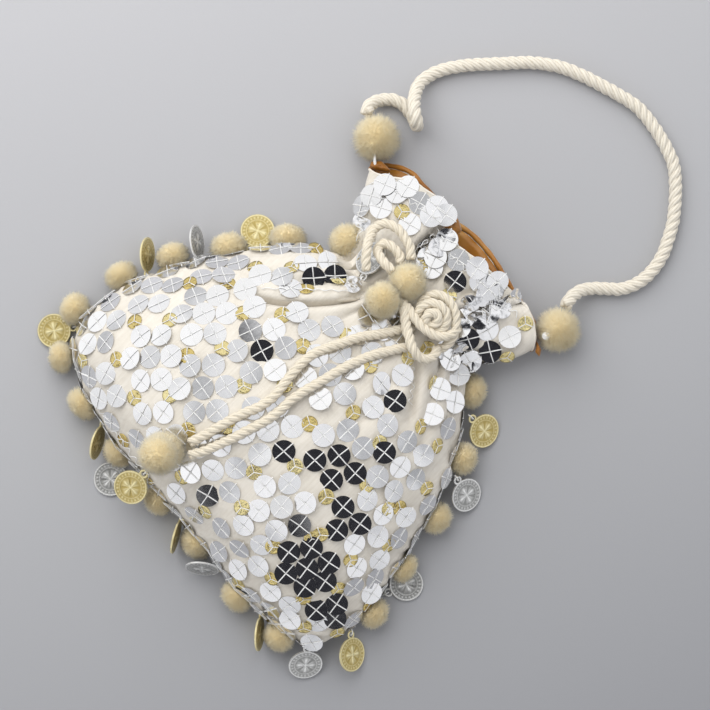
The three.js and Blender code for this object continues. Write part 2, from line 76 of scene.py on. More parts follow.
SEAM_POMPOMS = [[-36.75, 63.86, 12.5, 9.39, -0.104, -0.995, 1.1, 1.06], [-58.86, 44.48, 8.66, 8.93, -0.746, -0.666, 1.164, 0.901], [-76.59, 20.47, 8.66, 8.93, -0.555, -0.832, 1.151, 0.931], [-93.04, -2.28, 8.6, 8.43, -0.496, -0.868, 1.124, 0.884], [-104.18, -27.33, 8.6, 8.19, -0.29, -0.957, 1.133, 0.94], [-108.74, -55.16, 8.6, 8.43, 0.29, -0.957, 1.103, 0.949], [-96.64, -76.93, 8.6, 7.69, 0.799, -0.601, 1.157, 0.879], [-72.75, -85.68, 8.6, 8.43, 0.994, -0.108, 1.166, 0.871], [-43.59, -90.24, 8.6, 8.43, 0.987, -0.16, 1.083, 0.9], [-12.15, -93.04, 8.6, 7.94, 1.0, -0.026, 1.095, 0.945], [15.83, -94.62, 8.6, 8.43, 0.993, -0.122, 1.156, 0.936], [48.91, -99.35, 8.6, 8.43, 0.999, -0.048, 1.153, 0.886], [77.92, -99.0, 8.6, 7.94, 0.998, 0.06, 1.139, 0.932], [103.47, -56.83, 8.6, 7.94, -0.149, 0.989, 1.127, 0.893], [97.87, -30.22, 8.6, 7.44, -0.2, 0.98, 1.155, 0.866], [91.75, -1.34, 8.6, 8.43, -0.262, 0.965, 1.11, 0.922], [79.92, 28.59, 8.6, 8.43, -0.499, 0.867, 1.112, 0.943], [59.6, 55.55, 8.66, 8.93, -0.549, 0.836, 1.098, 0.896]]          # centre x, y, z and outer radius of the fluff
HANDLE_POMPOMS = [[-62.44, 110.17, 12.6, 12.9], [67.94, 106.69, 12.4, 12.3]]
STRING_POMPOMS = [[-3.45, 55.17, 43.5, 10.0, 9.3], [-1.1, 69.91, 40.0, 10.4, 8.6], [-26.68, -72.2, 61.0, 10.6, 7.4], [-26.01, -70.21, 50.0, 11.2, 6.2]]         # x, y, z, radius across, half height
TAB_LEFT, TAB_RIGHT = np.array([[-56.06,100.26],[-52.71,103.88],[-46.02,103.81],[-47.17,101.47],[-51.77,98.41],[-55.08,97.89]]), np.array([[63.8,95.17],[66.34,94.58],[68.95,93.7],[70.69,90.57],[67.38,90.74],[65.82,93.01]])
COINS = [
  ["coin_gold_01", [-72.39,36.42,2.96], [-0.1647,0.1759,0.9705], [0.3975,-0.8887,0.2285]],
  ["coin_silver_02", [-89.18,11.18,10.11], [0.5947,0.737,0.3212], [0.6854,-0.6736,0.2764]],
  ["coin_gold_03", [-102.26,-10.53,9.96], [0.6907,0.6522,0.3123], [0.6675,-0.7411,0.0714]],
  ["coin_gold_04", [-108.96,-70.61,1.94], [-0.0888,-0.0948,0.9915], [0.5619,0.8172,0.1284]],
  ["coin_gold_05", [-53.8,-94.16,9.4], [0.833,0.5035,0.2293], [-0.5252,0.85,0.0417]],
  ["coin_silver_06", [-36.74,-103.16,0.77], [-0.0022,0.0022,1.0], [-0.0985,0.9951,-0.0024]],
  ["coin_gold_07", [-26.22,-96.77,20.0], [0.0,-0.3011,0.9536], [0.0,0.9536,0.3011]],
  ["coin_gold_08", [6.71,-99.51,9.55], [0.8505,0.5161,0.101], [-0.517,0.8558,-0.0192]],
  ["coin_silver_09", [27.01,-101.4,9.73], [0.5695,-0.6965,0.4364], [0.7678,0.6404,0.0201]],
  ["coin_gold_10", [70.01,-104.29,9.45], [0.7264,0.656,0.2048], [-0.67,0.7424,-0.0018]],
  ["coin_silver_11", [97.22,-99.36,5.7], [0.4768,-0.2621,0.839], [-0.5229,0.6827,0.5104]],
  ["coin_gold_12", [109.78,-79.19,8.0], [0.5,0.5,0.7071], [-0.7432,0.6669,0.0539]],
  ["coin_silver_13", [104.75,-35.85,0.86], [0.0119,0.0,0.9999], [-0.3451,-0.9386,0.0041]],
  ["coin_silver_14", [94.11,16.89,5.75], [0.5064,0.2157,0.8349], [-0.8586,0.215,0.4653]],
  ["coin_gold_15", [77.8,45.69,5.63], [0.4907,0.2152,0.8444], [-0.8654,0.0075,0.501]],
  ["coin_silver_16", [-22.2,65.59,28.01], [-0.6639,-0.129,0.7366], [0.4017,-0.8923,0.2058]]
]
COIN_R, EYELET_AT = 8.5, 9.9
FRILL_FROM = 334
FLOWERS = [[-66.06, -46.2, 0], [-54.02, -50.04, 0], [-58.7, -38.26, 0], [-69.49, -34.52, 0], [-76.49, -42.08, 0], [-72.46, -53.62, 0], [-60.79, -57.75, 0], [-62.17, -11.91, 0], [-51.22, -15.2, 0], [-54.13, -3.6, 0], [-63.47, -0.77, 0], [-71.36, -8.55, 0], [-69.9, -19.87, 0], [-59.11, -23.61, 0], [-96.81, -52.21, 0], [-86.93, -56.63, 0], [-90.96, -45.1, 0], [-99.27, -40.91, 0], [-104.39, -47.71, 0], [-101.09, -58.83, 0], [-91.96, -63.47, 0], [-36.36, -38.42, 0], [-23.25, -41.41, 0], [-28.49, -29.58, 0], [-40.68, -26.54, 0], [-48.57, -34.95, 0], [-43.89, -46.73, 0], [-30.77, -50.07, 0], [-35.65, -72.36, 0], [-21.97, -75.29, 0], [-28.7, -64.37, 0], [-41.81, -61.02, 0], [-48.59, -68.73, 0], [-41.62, -79.64, 0], [-28.14, -82.77, 0], [-69.24, -78.37, 0], [-56.68, -82.22, 0], [-63.65, -71.31, 0], [-75.32, -67.18, 0], [-80.34, -74.03, 0], [-73.22, -84.75, 0], [-61.24, -88.73, 0], [-28.93, -4.13, 0], [-16.97, -6.66, 0], [-21.26, 5.07, 0], [-31.93, 7.26, 0], [-39.84, -1.35, 0], [-36.93, -12.96, 0], [-24.74, -15.99, 0], [1.47, -30.29, 0], [14.56, -32.18, 0], [8.84, -20.46, 0], [-3.65, -18.39, 0], [-11.42, -27.73, 0], [-6.18, -39.56, 0], [7.3, -41.87, 0], [-3.83, -63.88, 0], [9.89, -65.63, 0], [3.49, -54.88, 0], [-9.99, -52.57, 0], [-17.51, -61.23, 0], [-10.79, -72.15, 0], [3.12, -74.16, 0], [35.41, -14.03, 0], [47.4, -14.55, 0], [41.28, -3.12, 0], [29.56, -2.28, 0], [22.91, -12.63, 0], [28.64, -24.35, 0], [41.4, -25.35, 0], [33.65, -52.57, 0], [46.32, -52.87, 0], [40.33, -42.47, 0], [27.57, -41.47, 0], [20.31, -51.15, 0], [26.71, -61.91, 0], [39.94, -62.54, 0], [66.88, -30.64, 0], [77.42, -29.26, 0], [71.92, -19.37, 0], [60.97, -19.93, 0], [54.97, -30.73, 0], [60.96, -41.14, 0], [72.45, -40.14, 0], [33.29, -81.91, 0], [46.08, -81.47, 0], [39.7, -73.12, 0], [26.46, -72.49, 0], [19.69, -81.02, 0], [27.28, -89.77, 0], [40.42, -89.51, 0], [64.05, -65.29, 0], [74.76, -63.09, 0], [69.68, -55.31, 0], [58.19, -56.31, 0], [51.82, -65.97, 0], [58.2, -74.33, 0], [69.64, -72.36, 0], [91.28, -72.72, 0], [98.47, -67.06, 0], [86.81, -67.16, 0], [81.69, -76.43, 0], [86.88, -81.07, 0], [3.95, 11.07, 0], [15.83, 9.58, 0], [10.26, 21.24, 0], [-0.66, 22.54, 0], [-7.59, 13.02, 0], [-3.31, 1.3, 0], [9.18, -0.77, 0], [-48.02, 19.21, 0], [-38.74, 16.98, 0], [-40.41, 27.39, 0], [-47.72, 28.77, 0], [-55.39, 21.27, 0], [-55.99, 11.2, 0], [-46.65, 8.37, 0], [-22.57, 30.52, 0], [-12.33, 28.99, 0], [-16.18, 39.57, 0], [-24.77, 40.39, 0], [-31.6, 32.08, 0], [-29.93, 21.67, 0], [-19.26, 19.47, 0], [35.77, 25.22, 0], [46.5, 25.01, 0], [39.71, 36.43, 0], [29.62, 36.57, 0], [24.68, 26.07, 0], [30.26, 14.41, 0], [41.97, 13.57, 0], [61.22, 3.3, 0], [71.02, 4.4, 0], [64.58, 15.36, 0], [54.73, 14.71, 0], [50.21, 3.27, 0], [56.33, -8.16, 0], [67.29, -7.6, 0], [-90.45, -20.39, 0], [-81.6, -24.2, 0], [-83.06, -12.88, 0], [-89.97, -9.68, 0], [-96.84, -16.73, 0], [-96.92, -27.57, 0], [-88.61, -31.76, 0], [-75.6, 10.72, 0], [-68.36, 8.05, 0], [-67.77, 18.12, 0], [-83.16, 3.47, 0], [-76.25, 0.27, 0], [-57.57, 37.94, 0], [-50.4, 44.74, 0], [-65.13, 31.13, 0], [-36.71, 48.9, 0], [-29.67, 48.28, 0], [-30.62, 56.46, 0], [-43.81, 41.35, 0], [-36.5, 39.97, 0], [6.07, 45.02, 0], [16.18, 44.44, 0], [10.23, 55.01, 0], [1.45, 55.01, 0], [-3.54, 45.82, 0], [0.31, 35.24, 0], [11.24, 33.94, 0], [56.98, 45.02, 0], [65.47, 46.36, 0], [57.56, 57.37, 0], [49.39, 56.09, 0], [47.43, 44.52, 0], [54.22, 33.09, 0], [64.07, 33.75, 0], [83.5, 28.4, 0], [90.03, 31.39, 0], [83.35, 41.7, 0], [76.45, 39.3, 0], [75.05, 26.68, 0], [81.49, 15.72, 0], [89.55, 18.11, 0], [89.86, -10.49, 0], [97.19, -7.15, 0], [92.26, 2.04, 0], [84.2, -0.34, 0], [80.46, -12.34, 0], [85.96, -22.23, 0], [94.61, -19.33, 0], [91.28, -45.14, 0], [98.83, -40.9, 0], [95.12, -33.87, 0], [86.47, -36.77, 0], [81.5, -47.66, 0], [86.58, -55.43, 0], [95.24, -51.5, 0], [108.6, -45.49, 0], [111.61, -37.47, 0], [102.5, -51.37, 0], [106.48, -63.88, 0], [108.62, -53.83, 0], [103.91, -71.18, 0], [65.82, -92.52, 0], [76.12, -88.96, 0], [70.94, -84.32, 0], [59.49, -86.29, 0], [53.84, -94.32, 0], [61.13, -99.59, 0], [71.96, -96.12, 0], [91.63, -89.33, 0], [97.9, -81.72, 0], [82.82, -94.77, 0], [-0.65, -93.93, 0], [13.13, -95.01, 0], [5.53, -86.26, 0], [-8.37, -84.25, 0], [-14.54, -91.73, 0], [-5.81, -100.69, 0], [7.94, -101.88, 0], [-32.82, -101.36, 0], [-19.14, -103.68, 0], [-27.87, -94.71, 0], [-41.35, -91.59, 0], [-45.91, -98.1, 0], [-36.13, -107.11, 0], [-22.86, -109.48, 0], [-93.28, -81.91, 0], [-82.94, -86.41, 0], [-90.06, -75.69, 0], [-99.2, -71.04, 0], [-114.85, -54.69, 0], [-108.21, -59.43, 0], [-111.51, -48.31, 0], [-109.9, -25.7, 0], [-104.23, -29.75, 0], [-104.15, -18.91, 0], [-114.09, -32.18, 0], [-45.48, -52.76, 1], [-53.48, -32.63, 1], [-71.92, -26.23, 1], [-83.89, -39.16, 1], [-77.0, -58.88, 1], [-57.05, -65.94, 1], [-43.46, -17.54, 1], [-48.44, 2.3, 1], [-64.39, 7.13, 1], [-77.87, -6.17, 1], [-101.02, -32.89, 1], [-109.76, -44.52, 1], [-104.12, -63.52, 1], [-88.51, -71.46, 1], [-13.95, -43.54, 1], [-22.92, -23.3, 1], [-26.8, -58.34, 1], [-12.27, -77.36, 1], [-45.85, -84.8, 1], [-22.81, -90.15, 1], [-76.04, -89.26, 1], [-55.57, -96.07, 1], [-8.49, -8.45, 1], [-15.82, 11.59, 1], [-34.06, 15.34, 1], [23.85, -33.52, 1], [14.06, -13.48, 1], [11.44, -50.08, 1], [19.62, -66.87, 1], [8.05, -81.45, 1], [55.91, -14.92, 1], [45.44, 4.62, 1], [25.41, 6.05, 1], [45.65, -33.39, 1], [55.31, -53.09, 1], [44.41, -69.62, 1], [84.9, -28.27, 1], [75.5, -11.37, 1], [56.76, -48.59, 1], [76.39, -46.88, 1], [55.15, -81.17, 1], [23.02, -95.34, 1], [45.48, -94.89, 1], [82.36, -61.52, 1], [73.61, -77.37, 1], [103.58, -63.04, 1], [98.46, -56.48, 1], [83.76, -87.0, 1], [97.61, -77.57, 1], [14.74, 28.45, 1], [-3.94, 30.67, 1], [-35.02, 33.2, 1], [-47.5, 35.56, 1], [-60.62, 22.73, 1], [-11.65, 45.99, 1], [-26.33, 47.39, 1], [54.11, 24.87, 1], [42.51, 44.39, 1], [25.27, 44.63, 1], [77.98, 5.18, 1], [66.97, 23.92, 1], [71.59, -15.33, 1], [-89.63, -2.08, 1], [-101.36, -14.13, 1], [-70.66, 26.25, 1], [-83.5, 14.65, 1], [-45.31, 49.56, 1], [-61.48, 38.63, 1], [13.18, 62.1, 1], [-1.83, 62.1, 1], [71.49, 47.32, 1], [57.97, 66.13, 1], [44.0, 63.95, 1], [94.66, 33.51, 1], [83.24, 51.14, 1], [93.85, 10.8, 1], [102.38, -4.77, 1], [97.98, -25.6, 1], [104.18, -37.9, 1], [113.74, -31.78, 1], [112.5, -26.89, 1], [110.64, -48.74, 1], [102.09, -76.35, 1], [107.59, -59.27, 1], [57.8, -104.6, 1], [76.31, -98.67, 1], [86.5, -99.44, 1], [98.42, -86.42, 1], [-9.47, -105.49, 1], [14.03, -107.52, 1], [-38.48, -111.19, 1], [-15.79, -115.25, 1], [-107.27, -73.69, 1], [-94.96, -91.39, 1], [-78.92, -99.21, 1], [-117.24, -36.31, 1], [-121.05, -46.78, 1], [-116.8, -64.76, 1], [-105.89, -8.42, 1], [-114.16, -19.34, 1], [-37.06, 88.15, 0], [-43.78, 97.7, 0], [-25.04, 103.71, 0], [-16.56, 103.0, 0], [-5.6, 98.4, 0], [0.06, 89.92, 0], [8.54, 96.99, 0], [18.09, 100.88, 0], [2.18, 84.97, 0], [23.75, 97.34, 0], [29.4, 97.34, 0], [29.76, 103.35, 0], [38.24, 100.52, 0], [14.91, 88.5, 0], [39.66, 72.95, 0], [52.03, 76.13, 0], [43.19, 82.85, 0], [54.15, 88.15, 0], [-36.71, 99.11, 0], [-34.94, 105.12, 0], [-44.49, 89.21, 0], [-39.54, 80.02, 0], [-44.49, 82.14, 0], [36.12, 59.51, 0], [-2.42, 100.17, 0], [-20.8, 92.39, 0], [-12.32, 90.27, 0], [-10.19, 84.61, 0], [-11.61, 108.66, 0], [-17.62, 108.3, 0], [59.46, 75.77, 0], [48.85, 65.17, 0], [65.82, 83.55, 0], [41.07, 58.8, 0], [47.43, 99.11, 0], [39.3, 95.93, 0], [-28.23, 94.16, 1], [-2.42, 81.08, 1], [18.09, 81.08, 1], [35.41, 86.38, 1], [54.51, 98.4, 1], [60.16, 80.02, 1], [28.7, 54.92, 1], [27.99, 84.61, 1], [-49.79, 88.15, 1], [-10.55, 103.35, 1], [-36.71, 77.19, 1], [-24.34, 62.69, 1]]            # sequins as seen from above: x, y on the floor plane, kind
CREASES = [[[[-47.12, 13.69], [-38.55, 20.17], [-28.02, 30.05], [-19.9, 38.94], [-12.45, 48.57]], 11.5, 2.0, 1.5, 3.4], [[[-53.65, 27.67], [-44.92, 39.47], [-29.84, 48.73]], -2.8, 10.0, 0.0, 0], [[[27.65, 48.23], [33.77, 41.35], [39.88, 33.82], [47.69, 23.23]], 4.6, 2.6, 0.8, 1.0], [[[-5.67, 72.86], [-7.39, 80.8], [-8.08, 89.07], [-8.07, 96.62], [-7.38, 103.48]], 9.5, 2.4, 1.6, -2.8], [[[26.42, 75.29], [31.94, 83.58], [39.19, 93.59], [46.79, 102.58]], 8.0, 2.1, 1.4, -2.6], [[[-37.9, 74.79], [-34.54, 79.03], [-29.24, 82.7], [-21.22, 85.01]], 3.0, 2.5, 0.8, 0], [[[41.73, 65.08], [44.47, 53.97], [50.29, 43.92]], 2.0, 2.4, 0.8, 0], [[[35.36, 55.94], [43.91, 44.53], [52.06, 32.13], [60.55, 16.7]], 1.6, 2.6, 0.9, 0], [[[25.13, 34.82], [29.45, 20.2], [29.34, -0.01]], 1.3, 3.2, 0.7, 0], [[[-19.37, 50.0], [-31.0, 39.68], [-39.76, 28.01]], 1.4, 2.2, 0.8, 0], [[[22.27, 81.48], [23.99, 88.03], [29.85, 94.57]], 2.0, 2.0, 0.6, 0]]            # route, depth, half width, raised shoulder
DARK = [[42.84, -24.28, 18.0, 18.0], [60.52, -66.71, 16.5, 16.5], [62.28, -33.12, 11.0, 11.0], [-30.7, -2.36, 9.5, 9.5], [-56.51, 15.67, 6.0, 6.0], [-28.58, 40.77, 8.5, 8.5], [8.54, -30.29, 7.0, 7.0], [3.24, -75.9, 7.5, 7.5], [14.91, 88.5, 3.0, 3.0], [39.66, 72.95, 2.5, 2.5], [52.03, 76.13, 2.5, 2.5], [40.72, 26.63, 6.5, 6.5], [46.02, 6.48, 6.0, 6.0], [83.5, -68.48, 9.5, 9.5], [60.52, 18.15, 5.5, 5.5]]
HEM = [[[-49.44, 95.57], [-43.78, 97.7], [-37.42, 100.52], [-31.76, 103.35], [-25.04, 105.12], [-16.91, 106.89]], [[-5.95, 96.63], [0.06, 97.7], [7.48, 98.05], [14.91, 97.7], [21.98, 97.7]], [[26.22, 99.11], [34.0, 101.23], [42.49, 101.23]]]


# ------------------------------------------------------------------ materials
def material(name):
    m = bpy.data.materials.new(name)
    m.use_nodes = True
    nt = m.node_tree
    return m, nt, nt.nodes["Principled BSDF"]


def node(nt, kind, **kw):
    n = nt.nodes.new(kind)
    for k, v in kw.items():
        if k in n.inputs:
            n.inputs[k].default_value = v
        else:
            setattr(n, k, v)
    return n


def noise_tex(nt, vec, scale, detail=3.0, rough=0.55):
    n = nt.nodes.new("ShaderNodeTexNoise")
    n.inputs["Scale"].default_value = scale
    n.inputs["Detail"].default_value = detail
    n.inputs["Roughness"].default_value = rough
    nt.links.new(vec, n.inputs["Vector"])
    return n.outputs["Fac"]


def ramp(nt, fac, stops):
    r = nt.nodes.new("ShaderNodeValToRGB")
    e = r.color_ramp.elements
    while len(e) < len(stops):
        e.new(0.5)
    for el, (p, c) in zip(e, stops):
        el.position, el.color = p, (*c, 1.0)
    nt.links.new(fac, r.inputs["Fac"])
    return r.outputs["Color"]


def maths(nt, op, a, b=None):
    m = nt.nodes.new("ShaderNodeMath")
    m.operation = op
    for i, x in enumerate((a, b)):
        if x is None:
            continue
        if isinstance(x, (int, float)):
            m.inputs[i].default_value = x
        else:
            nt.links.new(x, m.inputs[i])
    return m.outputs[0]


def bump(nt, bsdf, height, strength, distance, before=None):
    b = nt.nodes.new("ShaderNodeBump")
    b.inputs["Strength"].default_value = strength
    b.inputs["Distance"].default_value = distance
    nt.links.new(height, b.inputs["Height"])
    if before is not None:
        nt.links.new(before, b.inputs["Normal"])
    nt.links.new(b.outputs["Normal"], bsdf.inputs["Normal"])
    return b.outputs["Normal"]


def obj_coords(nt, scale=(1, 1, 1), rot=(0, 0, 0)):
    tc = nt.nodes.new("ShaderNodeTexCoord")
    mp = nt.nodes.new("ShaderNodeMapping")
    mp.inputs["Scale"].default_value = scale
    mp.inputs["Rotation"].default_value = rot
    nt.links.new(tc.outputs["Object"], mp.inputs["Vector"])
    return mp.outputs["Vector"]


def uv_out(nt):
    u = nt.nodes.new("ShaderNodeUVMap")
    s = nt.nodes.new("ShaderNodeSeparateXYZ")
    nt.links.new(u.outputs["UV"], s.inputs[0])
    return s.outputs[0], s.outputs[1]


def attr(nt, name):
    a = nt.nodes.new("ShaderNodeAttribute")
    a.attribute_name = name
    return a.outputs["Fac"]


def ivory_material():
    m, nt, b = material("ivory_fabric")
    vec = obj_coords(nt)
    big = noise_tex(nt, vec, 30.0, 3.0)
    col = ramp(nt, big, [(0.30, (0.730, 0.685, 0.612)), (0.70, (0.800, 0.757, 0.684))])
    u, v = uv_out(nt)
    warp = maths(nt, "SINE", maths(nt, "MULTIPLY", u, 2 * math.pi / 0.55))
    weft = maths(nt, "SINE", maths(nt, "MULTIPLY", v, 2 * math.pi / 0.55))
    weave = maths(nt, "MULTIPLY", warp, weft)
    slub = noise_tex(nt, obj_coords(nt, (900.0, 60.0, 300.0)), 1.0, 2.0)
    h = maths(nt, "ADD", maths(nt, "MULTIPLY", weave, 0.35), slub)
    n1 = bump(nt, b, noise_tex(nt, vec, 190.0, 4.0, 0.6), 0.35, 0.0012)
    bump(nt, b, h, 0.45, 0.00018, n1)
    mix = nt.nodes.new("ShaderNodeMixRGB")
    mix.blend_type = "MULTIPLY"
    mix.inputs["Fac"].default_value = 1.0
    nt.links.new(col, mix.inputs["Color1"])
    nt.links.new(ramp(nt, slub, [(0.35, (0.93, 0.92, 0.90)), (0.65, (1.0, 1.0, 1.0))]), mix.inputs["Color2"])
    nt.links.new(mix.outputs[0], b.inputs["Base Color"])
    b.inputs["Roughness"].default_value = 0.62
    b.inputs["Specular IOR Level"].default_value = 0.35
    b.inputs["Sheen Weight"].default_value = 0.25
    b.inputs["Sheen Roughness"].default_value = 0.4
    return m


def satin_material():
    m, nt, b = material("satin")
    vec = obj_coords(nt)
    col = ramp(nt, noise_tex(nt, vec, 45.0, 3.0), [(0.25, (0.22, 0.075, 0.008)), (0.55, (0.38, 0.16, 0.025)), (0.8, (0.50, 0.27, 0.075))])
    nt.links.new(col, b.inputs["Base Color"])
    thread = noise_tex(nt, obj_coords(nt, (2200.0, 160.0, 900.0), (0, 0, 0.5)), 1.0, 1.0)
    bump(nt, b, thread, 0.3, 0.00012)
    b.inputs["Roughness"].default_value = 0.34
    b.inputs["Specular IOR Level"].default_value = 0.6
    b.inputs["Sheen Weight"].default_value = 0.3
    b.inputs["Sheen Roughness"].default_value = 0.3
    return m


def pompom_material():
    m, nt, b = material("pompom")
    tip = attr(nt, "tip")
    vec = obj_coords(nt)
    patch = noise_tex(nt, vec, 160.0, 3.0)
    # painted shade and light: the colour is darkest at the fibre roots and the core and lightest at the fibre tips,
    # mixed with random patches of tone
    f = maths(nt, "ADD", maths(nt, "MULTIPLY", tip, 0.75), maths(nt, "MULTIPLY", patch, 0.30))
    col = ramp(nt, f, [(0.0, (0.52, 0.40, 0.20)), (0.42, (0.87, 0.73, 0.44)), (1.0, (0.97, 0.90, 0.70))])
    nt.links.new(col, b.inputs["Base Color"])
    bump(nt, b, noise_tex(nt, vec, 1400.0, 2.0), 0.6, 0.0004)
    b.inputs["Roughness"].default_value = 0.95
    b.inputs["Specular IOR Level"].default_value = 0.15
    b.inputs["Sheen Weight"].default_value = 0.45
    b.inputs["Sheen Roughness"].default_value = 0.6
    return m


def cord_material(name, dark, light, turns, pitch, yarn):
    m, nt, b = material(name)
    u, v = uv_out(nt)
    ph = maths(nt, "SUBTRACT", maths(nt, "MULTIPLY", u, float(turns)), maths(nt, "DIVIDE", v, pitch))
    ridge = maths(nt, "ABSOLUTE", maths(nt, "SINE", maths(nt, "MULTIPLY", ph, math.pi)))
    vec = obj_coords(nt)
    fluff = noise_tex(nt, vec, 900.0, 3.0)
    # painted shade: the colour darkens along the grooves of the twist (ridge), mixed with random fluff noise
    groove_shade_and_fluff = maths(nt, "ADD", maths(nt, "MULTIPLY", ridge, 0.6), maths(nt, "MULTIPLY", fluff, 0.5))
    col = ramp(nt, groove_shade_and_fluff, [(0.0, dark), (0.75, light)])
    nt.links.new(col, b.inputs["Base Color"])
    n1 = bump(nt, b, ridge, 0.8, yarn)
    bump(nt, b, fluff, 0.4, 0.0002, n1)
    b.inputs["Roughness"].default_value = 0.85
    b.inputs["Specular IOR Level"].default_value = 0.2
    b.inputs["Sheen Weight"].default_value = 0.3
    b.inputs["Sheen Roughness"].default_value = 0.5
    return m


def coin_material(name, lit, tarnish_and_recess_shade, rough):
    m, nt, b = material(name)
    vec = obj_coords(nt)
    low = attr(nt, "low")
    spots = noise_tex(nt, vec, 420.0, 4.0, 0.65)
    # painted shade: the low parts of the relief take the darker colour and the raised parts the lit one, with random
    # noise spots of tarnish
    f = maths(nt, "ADD", maths(nt, "MULTIPLY", low, 0.8), maths(nt, "MULTIPLY", spots, 0.35))
    col = ramp(nt, f, [(0.15, lit), (0.95, tarnish_and_recess_shade)])
    nt.links.new(col, b.inputs["Base Color"])
    b.inputs["Metallic"].default_value = 0.62
    r = nt.nodes.new("ShaderNodeMapRange")
    r.inputs["To Min"].default_value = rough - 0.06
    r.inputs["To Max"].default_value = rough + 0.14
    nt.links.new(spots, r.inputs["Value"])
    nt.links.new(r.outputs[0], b.inputs["Roughness"])
    bump(nt, b, noise_tex(nt, vec, 1500.0, 3.0), 0.35, 0.00012)
    return m


def sequin_material(name, lit, deep, rough, relief):
    m, nt, b = material(name)
    vec = obj_coords(nt)
    tint = attr(nt, "tint")
    col = ramp(nt, tint, [(0.0, deep), (1.0, lit)])
    nt.links.new(col, b.inputs["Base Color"])
    b.inputs["Metallic"].default_value = 1.0
    fine = noise_tex(nt, vec, 500.0, 2.0)
    r = nt.nodes.new("ShaderNodeMapRange")
    r.inputs["To Min"].default_value = rough - 0.03
    r.inputs["To Max"].default_value = rough + 0.05
    nt.links.new(fine, r.inputs["Value"])
    nt.links.new(r.outputs[0], b.inputs["Roughness"])
    bump(nt, b, noise_tex(nt, vec, 260.0 if not relief else 900.0, 2.0), 0.12 if not relief else 0.8, 0.0002 if not relief else 0.0006)
    return m


def thread_material():
    m, nt, b = material("thread")
    vec = obj_coords(nt)
    f = noise_tex(nt, vec, 1500.0, 2.0)
    nt.links.new(ramp(nt, f, [(0.3, (0.86, 0.86, 0.855)), (0.7, (0.96, 0.96, 0.955))]), b.inputs["Base Color"])
    bump(nt, b, f, 0.5, 0.0001)
    b.inputs["Roughness"].default_value = 0.38
    b.inputs["Metallic"].default_value = 0.12
    b.inputs["Sheen Weight"].default_value = 0.2
    return m


IVORY = ivory_material()
SATIN = satin_material()
POMPOM = pompom_material()
ROPE_M = cord_material("rope", (0.56, 0.50, 0.40), (0.78, 0.73, 0.635), 7, 13.0, 0.00022)
STRING_M = cord_material("string", (0.54, 0.475, 0.36), (0.76, 0.695, 0.575), 6, 10.0, 0.00015)
GOLD_COIN = coin_material("gold_coin", (1.0, 0.91, 0.55), (0.50, 0.385, 0.13), 0.26)
SILVER_COIN = coin_material("silver_coin", (0.97, 0.97, 0.955), (0.33, 0.33, 0.32), 0.25)
SILVER = sequin_material("sequin_silver", (0.97, 0.97, 0.975), (0.74, 0.74, 0.76), 0.15, False)
GOLD = sequin_material("sequin_gold", (1.0, 0.88, 0.47), (0.80, 0.63, 0.24), 0.22, True)
THREAD = thread_material()


# --------------------------------------------------------------- mesh helpers
class Geo:
    def __init__(self):
        self.v, self.q, self.t, self.uq, self.n, self.a = [], [], [], [], 0, {}

    def add(self, v, q=None, t=None, uq=None, **attrs):
        v = np.asarray(v, float).reshape(-1, 3)
        self.v.append(v)
        if q is not None and len(q):
            self.q.append(np.asarray(q) + self.n)
            self.uq.append(np.zeros((len(q), 4, 2)) if uq is None else uq)
        if t is not None and len(t):
            self.t.append(np.asarray(t) + self.n)
        for k, x in attrs.items():
            self.a.setdefault(k, []).append((self.n, len(v), x))
        self.n += len(v)

    def build(self, name, mat, slot, body="bag", replaces=(), sharp=None):
        V = np.concatenate(self.v)
        V[:, 2] = np.maximum(V[:, 2], 0.02)
        V = V * MM
        Q = np.concatenate(self.q) if self.q else np.zeros((0, 4), int)
        T = np.concatenate(self.t) if self.t else np.zeros((0, 3), int)
        me = bpy.data.meshes.new(name)
        me.vertices.add(len(V))
        me.vertices.foreach_set("co", V.astype(np.float32).ravel())
        loops = np.concatenate([Q.ravel(), T.ravel()]).astype(np.int32)
        me.loops.add(len(loops))
        me.loops.foreach_set("vertex_index", loops)
        n = len(Q) + len(T)
        me.polygons.add(n)
        starts = np.concatenate([np.arange(len(Q)) * 4, len(Q) * 4 + np.arange(len(T)) * 3]).astype(np.int32)
        me.polygons.foreach_set("loop_start", starts)
        me.polygons.foreach_set("use_smooth", np.ones(n, bool))
        me.update(calc_edges=True)
        uv = me.uv_layers.new(name="UVMap")
        U = np.concatenate([np.concatenate(self.uq).reshape(-1, 2) if self.uq else np.zeros((0, 2)), np.zeros((len(T) * 3, 2))])
        uv.data.foreach_set("uv", U.astype(np.float32).ravel())
        for k, parts in self.a.items():
            arr = np.zeros(len(V), np.float32)
            for at, m, x in parts:
                arr[at:at + m] = x
            me.attributes.new(k, "FLOAT", "POINT").data.foreach_set("value", arr)
        me.validate()
        if sharp is not None:
            me.set_sharp_from_angle(angle=math.radians(sharp))
        me.materials.append(mat)
        ob = bpy.data.objects.new(name, me)
        scene.collection.objects.link(ob)
        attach(ob, body)
        if replaces:
            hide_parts(*replaces)
        return ob


def unit(a):
    a = np.asarray(a, float)
    return a / np.maximum(np.linalg.norm(a, axis=-1, keepdims=True), 1e-12)


def hermite(xp, fp, x):
    """Smooth curve through the rows of fp at the stations xp."""
    xp, fp, x = np.asarray(xp, float), np.asarray(fp, float), np.asarray(x, float)
    m = np.gradient(fp, xp, axis=0)
    i = np.clip(np.searchsorted(xp, x) - 1, 0, len(xp) - 2)
    h = (xp[i + 1] - xp[i])
    f = (x - xp[i]) / h
    if fp.ndim > 1:
        h, f = h[..., None], f[..., None]
    f2, f3 = f * f, f ** 3
    return (2 * f3 - 3 * f2 + 1) * fp[i] + (f3 - 2 * f2 + f) * h * m[i] + (-2 * f3 + 3 * f2) * fp[i + 1] + (f3 - f2) * h * m[i + 1]


